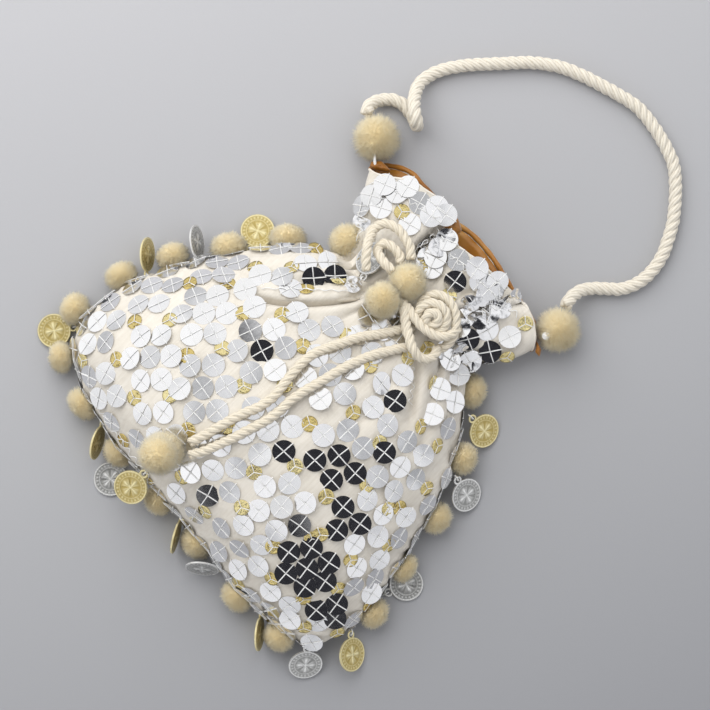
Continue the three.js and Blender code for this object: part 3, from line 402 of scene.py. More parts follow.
def route(points, step):
    """A smooth route through the points, in equal steps."""
    p = np.asarray(points, float)
    d = np.r_[0, np.cumsum(np.linalg.norm(np.diff(p, axis=0), axis=1))]
    x = np.linspace(0, d[-1], int(d[-1] / 0.25) + 2)
    f = hermite(d, p, x)
    e = np.r_[0, np.cumsum(np.linalg.norm(np.diff(f, axis=0), axis=1))]
    n = max(3, int(round(e[-1] / step)) + 1)
    s = np.linspace(0, e[-1], n)
    return np.stack([np.interp(s, e, f[:, k]) for k in range(3)], 1), s


def frames_on(P):
    T = unit(np.gradient(P, axis=0))
    N = np.zeros_like(P)
    a = np.array([0.0, 0.0, 1.0]) if abs(T[0, 2]) < 0.9 else np.array([1.0, 0.0, 0.0])
    N[0] = unit(a - T[0] * (a @ T[0]))
    for i in range(1, len(P)):
        N[i] = unit(N[i - 1] - T[i] * (N[i - 1] @ T[i]))
    return T, N, np.cross(T, N)


def tube(g, P, rad, sides=10, s=None, **attrs):
    T, N, B = frames_on(P)
    n = len(P)
    rad = np.broadcast_to(np.asarray(rad, float), (n,))
    if s is None:
        s = np.r_[0, np.cumsum(np.linalg.norm(np.diff(P, axis=0), axis=1))]
    a = np.linspace(0, 2 * math.pi, sides, endpoint=False)
    ring = P[:, None] + rad[:, None, None] * (np.cos(a)[None, :, None] * N[:, None] + np.sin(a)[None, :, None] * B[:, None])
    i, j = np.meshgrid(np.arange(n - 1), np.arange(sides), indexing="ij")
    i, j = i.ravel(), j.ravel()
    k = (j + 1) % sides
    q = np.stack([i * sides + j, i * sides + k, (i + 1) * sides + k, (i + 1) * sides + j], 1)
    u0, u1 = j / sides, (j + 1) / sides
    uq = np.stack([np.stack([u0, s[i]], 1), np.stack([u1, s[i]], 1), np.stack([u1, s[i + 1]], 1), np.stack([u0, s[i + 1]], 1)], 1)
    v = np.concatenate([ring.reshape(-1, 3), [P[0] - T[0] * rad[0] * 0.4], [P[-1] + T[-1] * rad[-1] * 0.4]])
    c0, c1 = n * sides, n * sides + 1
    j = np.arange(sides)
    k = (j + 1) % sides
    t = np.concatenate([np.stack([np.full(sides, c0), k, j], 1), np.stack([np.full(sides, c1), (n - 1) * sides + j, (n - 1) * sides + k], 1)])
    g.add(v, q, t, uq, **attrs)


def twisted(g, points, diameter, lay, strands=3, step=0.8, sides=10, rs=0.285, phase=0.0, ends=0.0):
    P, s = route(points, step)
    T, N, B = frames_on(P)
    r = diameter * rs
    rc = diameter / 2 - r
    edge = np.minimum(s, s[-1] - s)
    taper = np.clip(0.55 + 0.45 * edge / max(ends, 1e-6), 0, 1) if ends else np.ones(len(s))
    for k in range(strands):
        a = 2 * math.pi * (s / lay + k / strands) + phase
        wob = 1 + 0.03 * np.sin(s * 0.9 + k * 2.1) + 0.02 * np.sin(s * 2.3 + k)
        C = P + (rc * taper * wob)[:, None] * (np.cos(a)[:, None] * N + np.sin(a)[:, None] * B)
        tube(g, C, r * taper * (1 + 0.035 * np.sin(s * 1.3 + k * 1.7)), sides)
    return P


def grid_quads(nr, nc, at=0, flip=False):
    i, j = np.meshgrid(np.arange(nr - 1), np.arange(nc - 1), indexing="ij")
    i, j = i.ravel(), j.ravel()
    q = np.stack([i * nc + j, i * nc + j + 1, (i + 1) * nc + j + 1, (i + 1) * nc + j], 1) + at
    return q[:, ::-1] if flip else q


def closed_sheet(g, A, B, up, uvA=None):
    """A thin closed sheet between the grids A (outside) and B (inside)."""
    nr, nc = A.shape[:2]
    n = nr * nc
    q = [grid_quads(nr, nc, 0, not up), grid_quads(nr, nc, n, up)]
    ring = np.concatenate([np.arange(nc), np.arange(1, nr) * nc + nc - 1, (nr - 1) * nc + np.arange(nc - 2, -1, -1), np.arange(nr - 2, 0, -1) * nc])
    nxt = np.roll(ring, -1)
    e = np.stack([ring, ring + n, nxt + n, nxt], 1)
    q.append(e if up else e[:, ::-1])
    q = np.concatenate(q)
    if uvA is None:
        uvA = np.zeros((n, 2))
    U = np.concatenate([uvA, uvA])
    g.add(np.concatenate([A.reshape(-1, 3), B.reshape(-1, 3)]), q, None, U[q])


def noise_at(P, scale, seed=0.0):
    return np.array([noise.noise(Vector((x / scale + seed, y / scale, z / scale))) for x, y, z in P.reshape(-1, 3)]).reshape(P.shape[:-1])


CORDS = {}
for name, pts, dia, lay, mat, slot, nodes in (
    ("handle_rope_cord", HANDLE, ROPE_D, 13.0, ROPE_M, "rope", ("handle_rope",)),
    ("drawstring_tail_upper_cord", TAIL_UPPER, STRING_D, 11.0, STRING_M, "string", ("drawstring_tail_upper",)),
    ("drawstring_tail_lower_cord", TAIL_LOWER, STRING_D, 11.0, STRING_M, "string", ("drawstring_tail_lower",)),
    ("drawstring_bow_outer_cord", BOW_OUTER, STRING_D, 11.0, STRING_M, "string", ("drawstring_bow_outer",)),
    ("drawstring_bow_inner_cord", BOW_INNER, STRING_D, 11.0, STRING_M, "string", ("drawstring_bow_inner",)),
    ("drawstring_loop_lower_cord", LOOP_LOWER, STRING_D, 11.0, STRING_M, "string", ("drawstring_loop_lower",)),
):
    g = Geo()
    P = twisted(g, pts, dia, lay, step=0.8 if dia > 6 else 0.75, sides=12 if dia > 6 else 10)
    CORDS[name] = (g.build(name, mat, slot, replaces=nodes), P)

g = Geo()
for i, pts in enumerate(KNOT_STRANDS):
    twisted(g, pts, STRING_D * 0.97, 11.0, step=0.75, phase=i * 1.1)
knot = g.build("drawstring_knot_coils", STRING_M, "string", replaces=("drawstring_knot",))


# -------------------------------------------------------------------- pompoms
def ico(sub):
    p = (1 + 5 ** 0.5) / 2
    v = [(-1, p, 0), (1, p, 0), (-1, -p, 0), (1, -p, 0), (0, -1, p), (0, 1, p), (0, -1, -p), (0, 1, -p), (p, 0, -1), (p, 0, 1), (-p, 0, -1), (-p, 0, 1)]
    v = [unit(x) for x in v]
    f = [(0, 11, 5), (0, 5, 1), (0, 1, 7), (0, 7, 10), (0, 10, 11), (1, 5, 9), (5, 11, 4), (11, 10, 2), (10, 7, 6), (7, 1, 8), (3, 9, 4), (3, 4, 2), (3, 2, 6), (3, 6, 8), (3, 8, 9), (4, 9, 5), (2, 4, 11), (6, 2, 10), (8, 6, 7), (9, 8, 1)]
    for _ in range(sub):
        mid, nf = {}, []
        def m(a, b):
            k = (min(a, b), max(a, b))
            if k not in mid:
                v.append(unit(v[a] + v[b]))
                mid[k] = len(v) - 1
            return mid[k]
        for a, b, c in f:
            x, y, z = m(a, b), m(b, c), m(c, a)
            nf += [(a, x, z), (b, y, x), (c, z, y), (x, y, z)]
        f = nf
    return np.array(v), np.array(f)


ICO_V, ICO_F = ico(3)


def pompom(name, c, r, rz=None, fibres=2300, node_name=None, press=None, stretch=None):
    """A cut-yarn pompom: a lumpy core under a coat of fine tapering fibres."""
    rz = rz or r
    c = np.array(c, float)
    seed = float(c @ (0.137, 0.251, 0.411))
    rg = np.random.default_rng(int(abs(seed) * 1000) % 100000)
    sc = np.diag([1.0, 1.0, rz / r])
    if stretch is not None:
        a = np.array([*stretch[:2], 0.0])
        b = np.array([-stretch[1], stretch[0], 0.0])
        sc = sc @ (stretch[2] * np.outer(a, a) + stretch[3] * np.outer(b, b) + np.diag([0, 0, 1.0]))
    def tuft(D):
        return np.array([noise.noise(Vector(d * 2.6) + Vector((seed, 0, 0))) * 0.75 + noise.noise(Vector(d * 6.5) + Vector((0, seed, 0))) * 0.5 for d in D])
    g = Geo()
    core = (ICO_V * (r * 0.66 * (1 + 0.12 * tuft(ICO_V)))[:, None]) @ sc + c
    core[:, 2] = np.maximum(core[:, 2], 0.5)
    if press is not None:
        core = press(core)
    # the core takes a low value, so the darker painted-shade colour
    g.add(core, None, ICO_F, tip=0.45)
    k = np.arange(fibres) + 0.5
    ph = np.arccos(1 - 2 * k / fibres)
    th = math.pi * (1 + 5 ** 0.5) * k
    D = np.stack([np.cos(th) * np.sin(ph), np.sin(th) * np.sin(ph), np.cos(ph)], 1)
    D = unit(D + rg.normal(0, 0.045, D.shape))
    lean = unit(D + rg.normal(0, 0.17, D.shape))
    tf = tuft(D)
    base = D * (r * 0.61 * (1 + 0.10 * tf))[:, None]
    tipp = base + lean * (r * (0.365 + 0.07 * tf + 0.045 * rg.normal(0, 1, fibres)))[:, None]
    side = unit(np.cross(lean, [0.3, 0.5, 0.81]))
    up = np.cross(lean, side)
    w = 0.12 + 0.07 * rg.random(fibres)
    V = np.zeros((fibres, 4, 3))
    for q in range(3):
        a = 2 * math.pi * q / 3
        off = math.cos(a) * side + math.sin(a) * up
        V[:, q] = base + off * w[:, None]
    V[:, 3] = tipp
    V = V @ sc + c
    V[:, :, 2] = np.maximum(V[:, :, 2], 0.25)
    o = (np.arange(fibres) * 4)[:, None]
    F = np.concatenate([o + np.array(f) for f in ([0, 1, 3], [1, 2, 3], [2, 0, 3])])
    tone = np.clip(0.86 + 0.24 * tf + rg.normal(0, 0.09, fibres), 0.35, 1.15)
    # painted shade: each fibre is darker at its root (0.35) than at its tip (1.0), times its random tone
    tips = np.tile([0.35, 0.35, 0.35, 1.0], (fibres, 1)) * tone[:, None]
    g.add(V.reshape(-1, 3), None, F, tip=tips.ravel())
    return g.build(name, POMPOM, "pompom", replaces=(node_name,) if node_name else ())


for i, (x, y, z, r, ax, ay, along, out_) in enumerate(SEAM_POMPOMS):
    pompom("pompom_seam_%02d" % (i + 1), (x, y, z), r, node_name="seam_pompom_%02d" % (i + 1), fibres=3000, stretch=(ax, ay, along, out_))
hp = [pompom("pompom_handle_" + side, p[:3], p[3], fibres=4600, node_name="handle_pompom_" + side) for side, p in zip(("left", "right"), HANDLE_POMPOMS)]
dp = [pompom("pompom_drawstring_%02d" % (i + 1), p[:3], p[3], p[4], fibres=3800, node_name="drawstring_pompom_%02d" % (i + 1)) for i, p in enumerate(STRING_POMPOMS)]

ob, P = CORDS["handle_rope_cord"]
ob, P = CORDS["drawstring_tail_upper_cord"]
ob, P = CORDS["drawstring_tail_lower_cord"]
ob, P = CORDS["drawstring_bow_outer_cord"]
ob, P = CORDS["drawstring_bow_inner_cord"]
ob, P = CORDS["drawstring_loop_lower_cord"]


# ---------------------------------------------------------------------- pouch
def table(T, t):
    return np.interp(t, T[:, 0], T[:, 1])


def crease_field(X, Y):
    """Push of the named creases and rolls at plan points: upward, and sideways where one side laps over."""
    out = np.zeros_like(X)
    lap = np.zeros(X.shape + (2,))
    for pts, depth, width, shoulder, roll in CREASES:
        pts = np.asarray(pts, float)
        best = np.full(X.shape, 1e9)
        fade = np.zeros_like(X)
        side = np.ones_like(X)
        toward = np.zeros(X.shape + (2,))
        d = np.r_[0, np.cumsum(np.linalg.norm(np.diff(pts, axis=0), axis=1))]
        for k in range(len(pts) - 1):
            a, b = pts[k], pts[k + 1]
            ab = b - a
            raw = ((X - a[0]) * ab[0] + (Y - a[1]) * ab[1]) / (ab @ ab)
            f = np.clip(raw, 0, 1)
            px, py = a[0] + f * ab[0], a[1] + f * ab[1]
            dist = np.hypot(X - px, Y - py)
            near = dist < best
            best = np.where(near, dist, best)
            along = (d[k] + f * (d[k + 1] - d[k])) / d[-1]
            fade = np.where(near, np.clip(5 * along * (1 - along), 0, 1) ** 0.5, fade)
            side = np.where(near, np.sign(ab[0] * (Y - a[1]) - ab[1] * (X - a[0])), side)
            nrm = np.array([ab[1], -ab[0]]) / np.linalg.norm(ab)
            toward = np.where(near[..., None], nrm, toward)
        end = 0.3 + 0.7 * fade
        out += -depth * end * np.exp(-(best / width) ** 2) + shoulder * end * np.exp(-((best - 2.6 * width) / (1.5 * width)) ** 2)
        if roll:
            over = (side * np.sign(roll) > 0) * abs(roll) * end * np.exp(-((best - 1.4 * width) / (1.3 * width)) ** 2)
            lap += (over * np.sign(roll))[..., None] * toward
            out += over * 0.5
    return out, lap


def pouch(front, nt_, ns_, depth=0.0, detail=True):
    """The surface of one half of the pouch, depth inside the outer face."""
    a = np.linspace(0, 1, nt_)
    t = np.where(a < 0.62, 0.72 * (1 - np.clip(1 - a / 0.62, 0, 1) ** 1.25) if front else 0.72 * a / 0.62, 0.72 + 0.28 * (a - 0.62) / 0.38)
    t = np.clip(t, 0, 1)
    s = np.sin(np.linspace(-1, 1, ns_) * math.pi / 2)
    s = 0.8 * s + 0.2 * np.linspace(-1, 1, ns_)
    L, R = hermite(ROW_T, SEAM_LEFT, t), hermite(ROW_T, SEAM_RIGHT, t)
    tl, tr = unit(np.gradient(L, axis=0)), unit(np.gradient(R, axis=0))
    NL, NR = np.stack([tl[:, 1], -tl[:, 0]], 1), np.stack([-tr[:, 1], tr[:, 0]], 1)
    L, R = L + NL * depth, R + NR * depth
    base = (1 - t) ** 3
    frill = np.clip((t - 0.72) / 0.28, 0, 1)
    mouth = frill ** 1.5
    q = np.minimum(t / 0.26, 1)
    closing = (1 - (1 - q) ** 2.2) ** 0.6
    sz = table(SEAM_Z, t)
    bow = hermite(COL_S, BASE_BOW, s)
    edge = hermite(COL_S, FRONT_EDGE if front else BACK_EDGE, s)
    f = ((s + 1) / 2)[None, :, None]
    xy = L[:, None] + (R - L)[:, None] * f + base[:, None, None] * bow[None] + mouth[:, None, None] * edge[None]
    xy[..., 1] += depth * ((1 - q) ** 2)[:, None]
    w = (1 - np.abs(s)[None] ** (2.4 + 1.6 * frill[:, None])) ** 0.62
    h = w * closing[:, None]
    body = np.clip((0.75 - t) / 0.10, 0, 1)[:, None]
    # the filled cloth rolls out over the seam
    amount = (2.9 if front else 1.2) * (h / 0.2) * np.exp(1 - h / 0.2) * body * (1 if depth == 0 else max(0.0, 1 - depth / 3))
    lat = ((1 - w) ** 2)
    bas = ((1 - closing) ** 2)[:, None] * np.ones_like(w)
    out = lat[..., None] * np.where((s < 0)[None, :, None], -NL[:, None], -NR[:, None]) + bas[..., None] * np.array([0.0, -1.0])
    xy = xy + unit(out) * amount[..., None]
    T_, S_ = np.meshgrid(t, s, indexing="ij")
    if front:
        rise = (table(CROWN_Z, t) - sz - 0.15)[:, None]
        z = sz[:, None] + 0.15 + rise * h * (1 - depth / rise)
    else:
        drop = (sz - 0.15 - table(BACK_Z, t))[:, None]
        z = sz[:, None] - 0.15 - drop * np.clip(w * closing[:, None] * 2, 0, 1) * (1 - depth / drop)
        # the back of the frill stands up behind the mouth in two waves
        lift = 3.0 + 8.0 * np.exp(-((S_ + 0.52) / 0.26) ** 2) + 10.0 * np.exp(-((S_ - 0.30) / 0.30) ** 2)
        z = z + lift * mouth[:, None] * w ** 0.5
        z = np.maximum(z, 0.55 + depth)
    P = np.concatenate([xy, z[..., None]], -1)
    if detail:
        X, Y = P[..., 0], P[..., 1]
        # gathers at the neck, spreading over the body and into the frill
        ph = math.pi * (5.4 * S_ + 0.35 * np.sin(3.1 * S_ + 1.0) + 0.22 * np.sin(7.7 * S_))
        ridge = 2 * np.abs(np.cos(ph)) ** 0.75 - 1.25
        env = np.where(T_ < 0.72, np.exp(-((T_ - 0.72) / 0.115) ** 2), np.exp(-((T_ - 0.72) / 0.10) ** 2))
        gath = (2.7 if front else 0.9) * ridge * env
        # loose waves of the frill
        fr = frill[:, None]
        waves = (2.2 * np.sin(5.3 * S_ + 0.8) + 1.5 * np.sin(9.1 * S_ - 0.6)) * fr * (1.0 if front else 0.5)
        edge_w = np.clip(h * 4, 0, 1)
        lumps = 1.3 * noise_at(P, 34.0, 3.0) + 0.75 * noise_at(P, 13.0, 9.0) + 0.3 * noise_at(P, 6.0, 5.0)
        pucker = 0.55 * np.sin(2 * math.pi * (np.abs(X) + np.abs(Y)) / 8.5) * np.exp(-(h / 0.30) ** 2) * body
        dz = (gath + waves) * edge_w + (lumps if front else lumps * 0.25) * edge_w
        if front:
            push, lap = crease_field(X, Y)
            dz = dz + push * edge_w
            P[..., :2] += lap * edge_w[..., None]
            # the waist drawn in by the string, and thin folds running into it
            dz -= 2.4 * np.exp(-((T_ - 0.725) / 0.016) ** 2) * edge_w
        gu, gv = np.gradient(P, axis=0), np.gradient(P, axis=1)
        nrm = unit(np.cross(gv, gu)) * (1 if front else -1)
        blend = np.clip(h / 0.6, 0, 1)[..., None]
        direction = unit(nrm * (1 - blend * 0.6) + np.array([0, 0, 1.0 if front else -1.0]) * blend * 0.6)
        P = P + direction * dz[..., None] + nrm * pucker[..., None]
        if front:
            floor_z = sz[:, None] + 0.15
            P[..., 2] = np.maximum(P[..., 2], floor_z)
        else:
            P[..., 2] = np.maximum(P[..., 2], 0.5)
    return P, t, s


FRONT, ft, fs = pouch(True, 180, 200)

# room for the coin that lies flat beside the neck and turns in its own plane
REST_COIN = next(k for k in COINS if k[0] == "coin_silver_16")
RC, RN = np.array(REST_COIN[1]), unit(np.array(REST_COIN[2]))
RP = np.array([-18.226, 56.755, 30.045])
_arm = RC - RP
SWEEP = [RP + _arm * math.cos(a) + np.cross(RN, _arm) * math.sin(a) + RN * (RN @ _arm) * (1 - math.cos(a)) for a in np.radians([-10, -5, 0, 6, 12])]


def coin_gap(P):
    """In-plane distance to the swept coin, and height over its plane."""
    rel = [P - q for q in SWEEP]
    h = rel[2] @ RN
    rho = np.min([np.linalg.norm(x - (x @ RN)[..., None] * RN, axis=-1) for x in rel], axis=0)
    return rho, h


_rho, _h = coin_gap(FRONT)
_sink = np.clip(_h + 1.3, 0, None) * np.clip((12.5 - _rho) / 3.0, 0, 1) * (_h < 5.5)
FRONT = FRONT - _sink[..., None] * RN
BACK, bt, bs = pouch(False, 110, 120)


def grid_normals(P):
    n = unit(np.cross(np.gradient(P, axis=1), np.gradient(P, axis=0)))
    return n


def inner_of(P, front, thick):
    n = grid_normals(P) * (1 if front else -1)
    n = unit(n + np.array([0, 0, 0.6 if front else -0.6]))
    Q = P - n * thick
    return Q


def grid_uv(P):
    u = np.concatenate([np.zeros((P.shape[0], 1)), np.cumsum(np.linalg.norm(np.diff(P, axis=1), axis=2), axis=1)], 1)
    u -= u[:, P.shape[1] // 2][:, None]
    v = np.concatenate([np.zeros((1, P.shape[1])), np.cumsum(np.linalg.norm(np.diff(P, axis=0), axis=2), axis=0)], 0)
    return np.stack([u, v], -1).reshape(-1, 2)


g = Geo()
closed_sheet(g, FRONT, inner_of(FRONT, True, 0.8), True, grid_uv(FRONT))
pouch_front = g.build("pouch_front", IVORY, "ivory_fabric", replaces=("front_panel",))
g = Geo()
BIN = inner_of(BACK, False, 0.8)
closed_sheet(g, BACK, BIN, False, grid_uv(BACK))
pouch_back = g.build("pouch_back", IVORY, "ivory_fabric", replaces=("back_panel",))


def lining(front, P, name, nodes):
    k = inner_of(P, front, 2.0)[::2, ::2]
    near = inner_of(P, front, 0.95)[::2, ::2]
    mouth = np.clip((np.linspace(0, 1, k.shape[0]) - 0.86) / 0.10, 0, 1)[:, None, None]
    k = k * (1 - mouth) + near * mouth
    n = grid_normals(k) * (1 if front else -1)
    X, Y = k[..., 0], k[..., 1]
    rows = np.linspace(0, 1, k.shape[0])[:, None]
    rip = 0.55 * np.sin(X * 0.55 + 0.8 * np.sin(Y * 0.12)) * np.clip((rows - 0.62) / 0.2, 0, 1)
    k = k + np.array([0, 0, 1.0]) * rip[..., None]
    k[..., 2] = np.maximum(k[..., 2], 1.6)
    g = Geo()
    closed_sheet(g, k, k - unit(n + np.array([0, 0, 0.6 if front else -0.6])) * 0.45, front, grid_uv(k))
    return g.build(name, SATIN, "satin", replaces=nodes)


lining(True, FRONT, "lining_front", ("front_lining",))
lining(False, BACK, "lining_back", ("back_lining",))

# rolled hems along the mouth: the front one in the fabric, the back one in the satin turned over it
for P, up, nm, mt, sl, rad in ((FRONT, 1, "front", IVORY, "ivory_fabric", 0.6), (BACK, -1, "back", SATIN, "satin", 1.35)):
    g = Geo()
    e = P[-1].copy()
    e[:, 2] += -0.4 if up == 1 else 0.7
    e, s_ = route(e[2:-2], 1.0)
    tube(g, e, rad + 0.12 * np.sin(s_ * 0.7), 8)
    g.build("mouth_hem_" + nm, mt, sl)


# ------------------------------------------------------------------- sequins
OUTER_V = FRONT.reshape(-1, 3)
FN = grid_normals(FRONT)
OUTER_N = FN.reshape(-1, 3)
GT = unit(np.gradient(FRONT, axis=0)).reshape(-1, 3)
bvh_f = BVHTree.FromPolygons([Vector(p) for p in OUTER_V], grid_quads(*FRONT.shape[:2]).tolist())
BACK_V = BACK.reshape(-1, 3)
BACK_N = -grid_normals(BACK).reshape(-1, 3)
GTB = unit(np.gradient(BACK, axis=0)).reshape(-1, 3)
bvh_b = BVHTree.FromPolygons([Vector(p) for p in BACK_V], grid_quads(*BACK.shape[:2]).tolist())


def seat(p, r, V, Nn, G, jitter=0.0, aim=None, away=()):
    """Centre, normal and grain of a sequin of radius r lying at p on the cloth."""
    d2 = ((V - p) ** 2).sum(1)
    i0 = int(d2.argmin())
    near = (d2 < (r * 0.9) ** 2) & (Nn @ Nn[i0] > 0.25)
    if near.sum() < 6:
        near = d2 <= np.partition(d2, 8)[8]
    Q = V[near]
    c = Q.mean(0)
    w, U = np.linalg.eigh(np.cov((Q - c).T))
    n = U[:, 0]
    if n @ Nn[near].mean(0) < 0:
        n = -n
    n = unit(n * 0.75 + unit(Nn[near].mean(0)) * 0.25)
    n = unit(n + rng.normal(0, 1.0, 3) * jitter)
    view = unit(EYE - p)
    if aim is not None:
        want = unit(view + aim)
        ang = math.acos(float(np.clip(n @ want, -1, 1)))
        turn = min(1.0, math.radians(15 if aim is BRIGHT_DIR else 24) / max(ang, 1e-6))
        n = unit(n * (1 - turn) + want * turn)
    elif away:
        for way, limit in away:
            back = 2 * (n @ view) * n - view
            ang = math.acos(float(np.clip(back @ way, -1, 1)))
            if ang < limit:
                off = unit(back - way * (back @ way) + 1e-6)
                want = unit(view + unit(way * math.cos(limit) + off * math.sin(limit)))
                gap = math.acos(float(np.clip(n @ want, -1, 1)))
                turn = min(1.0, math.radians(13) / max(gap, 1e-6))
                n = unit(n * (1 - turn) + want * turn)
    wide = (d2 < (r * 1.02) ** 2) & (Nn @ Nn[i0] > 0.25)
    hgt = (V[wide] - p) @ n
    lift = float(np.clip(np.percentile(hgt, 98) if len(hgt) else 0.0, -0.3, 2.6)) + 0.2
    g_ = unit(G[i0] - n * (G[i0] @ n))
    return p + n * lift, n, g_


def crease_gap(x, y):
    best = 1e9
    for pts, depth, width, shoulder, roll in CREASES:
        if depth < 3:
            continue
        q = np.asarray(pts, float)
        for a, b in zip(q[:-1], q[1:]):
            f = np.clip((np.array([x, y]) - a) @ (b - a) / ((b - a) @ (b - a)), 0, 1)
            best = min(best, float(np.hypot(*(np.array([x, y]) - a - f * (b - a)))))
    return best


SEQ = []      # centre, normal, grain, kind, tint
taken = []


def free(p, gap):
    return all(np.linalg.norm(p - q) > gap for q in taken)


DARK_DIR = unit(np.array([0.7071 * math.sin(math.radians(25)), -0.7071 * math.sin(math.radians(25)), math.cos(math.radians(25))]))
BRIGHT_DIR = unit(np.array([-0.52, 0.16, 0.84]))
PLAIN = ((BRIGHT_DIR, math.radians(27)), (DARK_DIR, math.radians(28)))
BRIGHT = [[-56.86, -9.43, 15.0, 15.0], [-97.88, -51.86, 9.5, 9.5], [-72.07, -72.01, 8.5, 8.5], [-60.05, 26.98, 6.5, 6.5], [-20.45, -8.37, 10.0, 10.0], [9.96, -0.59, 10.0, 10.0], [8.19, 17.44, 7.0, 7.0], [32.23, -6.6, 5.0, 5.0], [-38.48, 92.39, 15.5, 15.5], [-10.19, 85.32, 12.5, 12.5], [2.89, 89.92, 8.5, 8.5], [51.68, 87.09, 9.0, 9.0], [41.78, 84.26, 5.0, 5.0], [81.73, -13.67, 8.5, 8.5], [99.41, -52.57, 7.0, 7.0], [44.61, -93.22, 7.0, 7.0], [51.68, 41.13, 9.0, 9.0], [71.12, 39.36, 6.0, 6.0], [21.63, -27.82, 6.5, 6.5], [32.23, -56.1, 6.0, 6.0]]
for k_flower, (x, y, kind) in enumerate(FLOWERS):
    o = EYE
    d = unit(np.array([x, y, 0.0]) - o)
    hit = bvh_f.ray_cast(Vector(o), Vector(d))
    if hit[0] is None:
        continue
    p = np.array(hit[0])
    r = 5.6 if kind == 0 else 3.9
    if crease_gap(p[0], p[1]) < 4.7:
        continue
    dark = kind == 0 and any(((x - a) / ra) ** 2 + ((y - b) / rb) ** 2 < 1 for a, b, ra, rb in DARK)
    lit = kind == 0 and rng.random() < (0.80 if any(((x - a) / ra) ** 2 + ((y - b) / rb) ** 2 < 1 for a, b, ra, rb in BRIGHT) else 0.09)
    c, n, gr = seat(p, r, OUTER_V, OUTER_N, GT, 0.02 if dark else 0.075, DARK_DIR if dark else (BRIGHT_DIR if lit else None), PLAIN if kind == 0 else ())
    _r, _hh = coin_gap(c)
    if _r < 14.0 and abs(_hh) < 3.0:
        continue
    SEQ.append((c, n, gr, kind, float(rng.random())))
    taken.append(c)

# sequins crushed into the gathers
CRUSHED = []
for x, y in [[-33.18, 72.24], [-38.83, 76.48], [-20.45, 51.03], [-7.72, 75.07], [-8.07, 81.08], [-8.07, 87.44], [-8.07, 93.81], [-8.07, 100.17], [-3.48, 79.31], [-3.48, 87.09], [-3.12, 93.81], [-3.48, 100.52], [31.52, 78.96], [32.59, 84.26], [34.35, 88.86], [36.12, 94.16], [38.6, 98.76], [41.07, 103.35], [27.99, 86.03], [30.11, 92.39], [32.23, 98.76], [33.65, 74.01], [34.35, 59.16], [39.66, 59.51], [44.96, 59.86], [49.91, 60.57], [48.85, 66.58], [53.8, 67.29], [55.21, 71.53], [41.78, 65.17], [36.47, 64.81], [37.54, 83.55], [39.3, 89.56], [41.42, 95.22]]:
    d = unit(np.array([x, y, 0.0]) - EYE)
    hit = bvh_f.ray_cast(Vector(EYE), Vector(d))
    if hit[0] is not None:
        c, n, gr = seat(np.array(hit[0]), 3.6, OUTER_V, OUTER_N, GT, 0.24)
        if coin_gap(c)[0] > 14.0 or abs(coin_gap(c)[1]) > 3.0:
            CRUSHED.append((c + n * 0.2, n, gr))

# the same pattern carried round the sides, below the roll of the cloth
for P, Nn, G, V, rows in ((FRONT, OUTER_N, GT, OUTER_V, "f"),):
    for j_side in (0, -1):
        for zc in (13.5,):
            col = []
            for k in range(P.shape[0]):
                if ft[k] > 0.66:
                    break
                prof = P[k] if j_side == 0 else P[k][::-1]
                m = int(np.argmax(prof[:, 2] > zc))
                col.append(prof[m])
            col, s_ = route(np.array(col)[::4], 1.0)
            last = -99.0
            for p, at in zip(col, s_):
                if at - last < 10.9:
                    continue
                if free(p, 7.4):
                    c, n, gr = seat(p, 5.35, V, Nn, G, 0.05)
                    SEQ.append((c, n, gr, 0, float(rng.random())))
                    taken.append(c)
                    last = at
    col = []
    for j in range(8, P.shape[1] - 8):
        prof = P[:, j]
        m = int(np.argmax(prof[:, 2] > 13.5))
        col.append(prof[m])
    col, s_ = route(np.array(col)[::4], 1.0)
    last = -99.0
    for p, at in zip(col, s_):
        if at - last >= 10.9 and free(p, 7.4):
            c, n, gr = seat(p, 5.35, OUTER_V, OUTER_N, GT, 0.05)
            SEQ.append((c, n, gr, 0, float(rng.random())))
            taken.append(c)
            last = at

# the back panel carries the same flowers
fa = np.array([31.0, 3.0])
fb = np.array([12.0, 29.0])
back_seq = []
for i in range(-7, 8):
    for j in range(-7, 9):
        c0 = i * fa + j * fb
        ring = [(1 / 3, 1 / 3), (2 / 3, -1 / 3), (1 / 3, -2 / 3), (-1 / 3, -1 / 3), (-2 / 3, 1 / 3), (-1 / 3, 2 / 3)]
        back_seq.append((*c0, 0))
        for k, (a, b) in enumerate(ring):
            v = a * fa + b * fb
            back_seq.append((*(c0 + 0.585 * v), 0))
            if k < 2:
                back_seq.append((*(c0 + v), 1))
for x, y, kind in back_seq:
    hit = bvh_b.ray_cast(Vector((x, y, -50.0)), Vector((0, 0, 1)))
    if hit[0] is None or hit[1].z > -0.2 and hit[1].z < 0.2:
        continue
    p = np.array(hit[0])
    if p[2] > 7.5 or hit[2] // (BACK.shape[1] - 1) > BACK.shape[0] * 0.86:
        continue
    c, n, gr = seat(p, 5.35 if kind == 0 else 3.9, BACK_V, BACK_N, GTB)
    n = unit(n * np.array([0.4, 0.4, 1.0])) if p[2] < 1.5 else n
    c[2] = max(c[2], 0.30 if p[2] < 1.5 else c[2])
    SEQ.append((c, n, gr, kind, float(rng.random())))


def disc_mesh(r, seg, rings, fn, thick):
    """A thin disc: fn(radius share, angle) gives the height of its face."""
    a = np.linspace(0, 2 * math.pi, seg, endpoint=False)
    V = [[0, 0, fn(0.0, 0.0)]]
    for k in range(1, rings + 1):
        f = k / rings
        V += [[r * f * math.cos(x), r * f * math.sin(x), fn(f, x)] for x in a]
    V += [[r * math.cos(x), r * math.sin(x), fn(1.0, x) - thick] for x in a]
    V += [[0, 0, fn(0.0, 0.0) - thick]]
    q, t = [], []
    for j in range(seg):
        k = (j + 1) % seg
        t.append((0, 1 + j, 1 + k))
        for i in range(rings):
            a0, b0 = 1 + i * seg, 1 + (i + 1) * seg
            q.append((a0 + j, b0 + j, b0 + k, a0 + k))
        t.append((1 + (rings + 1) * seg, 1 + rings * seg + k, 1 + rings * seg + j))
    return np.array(V), np.array(q), np.array(t)


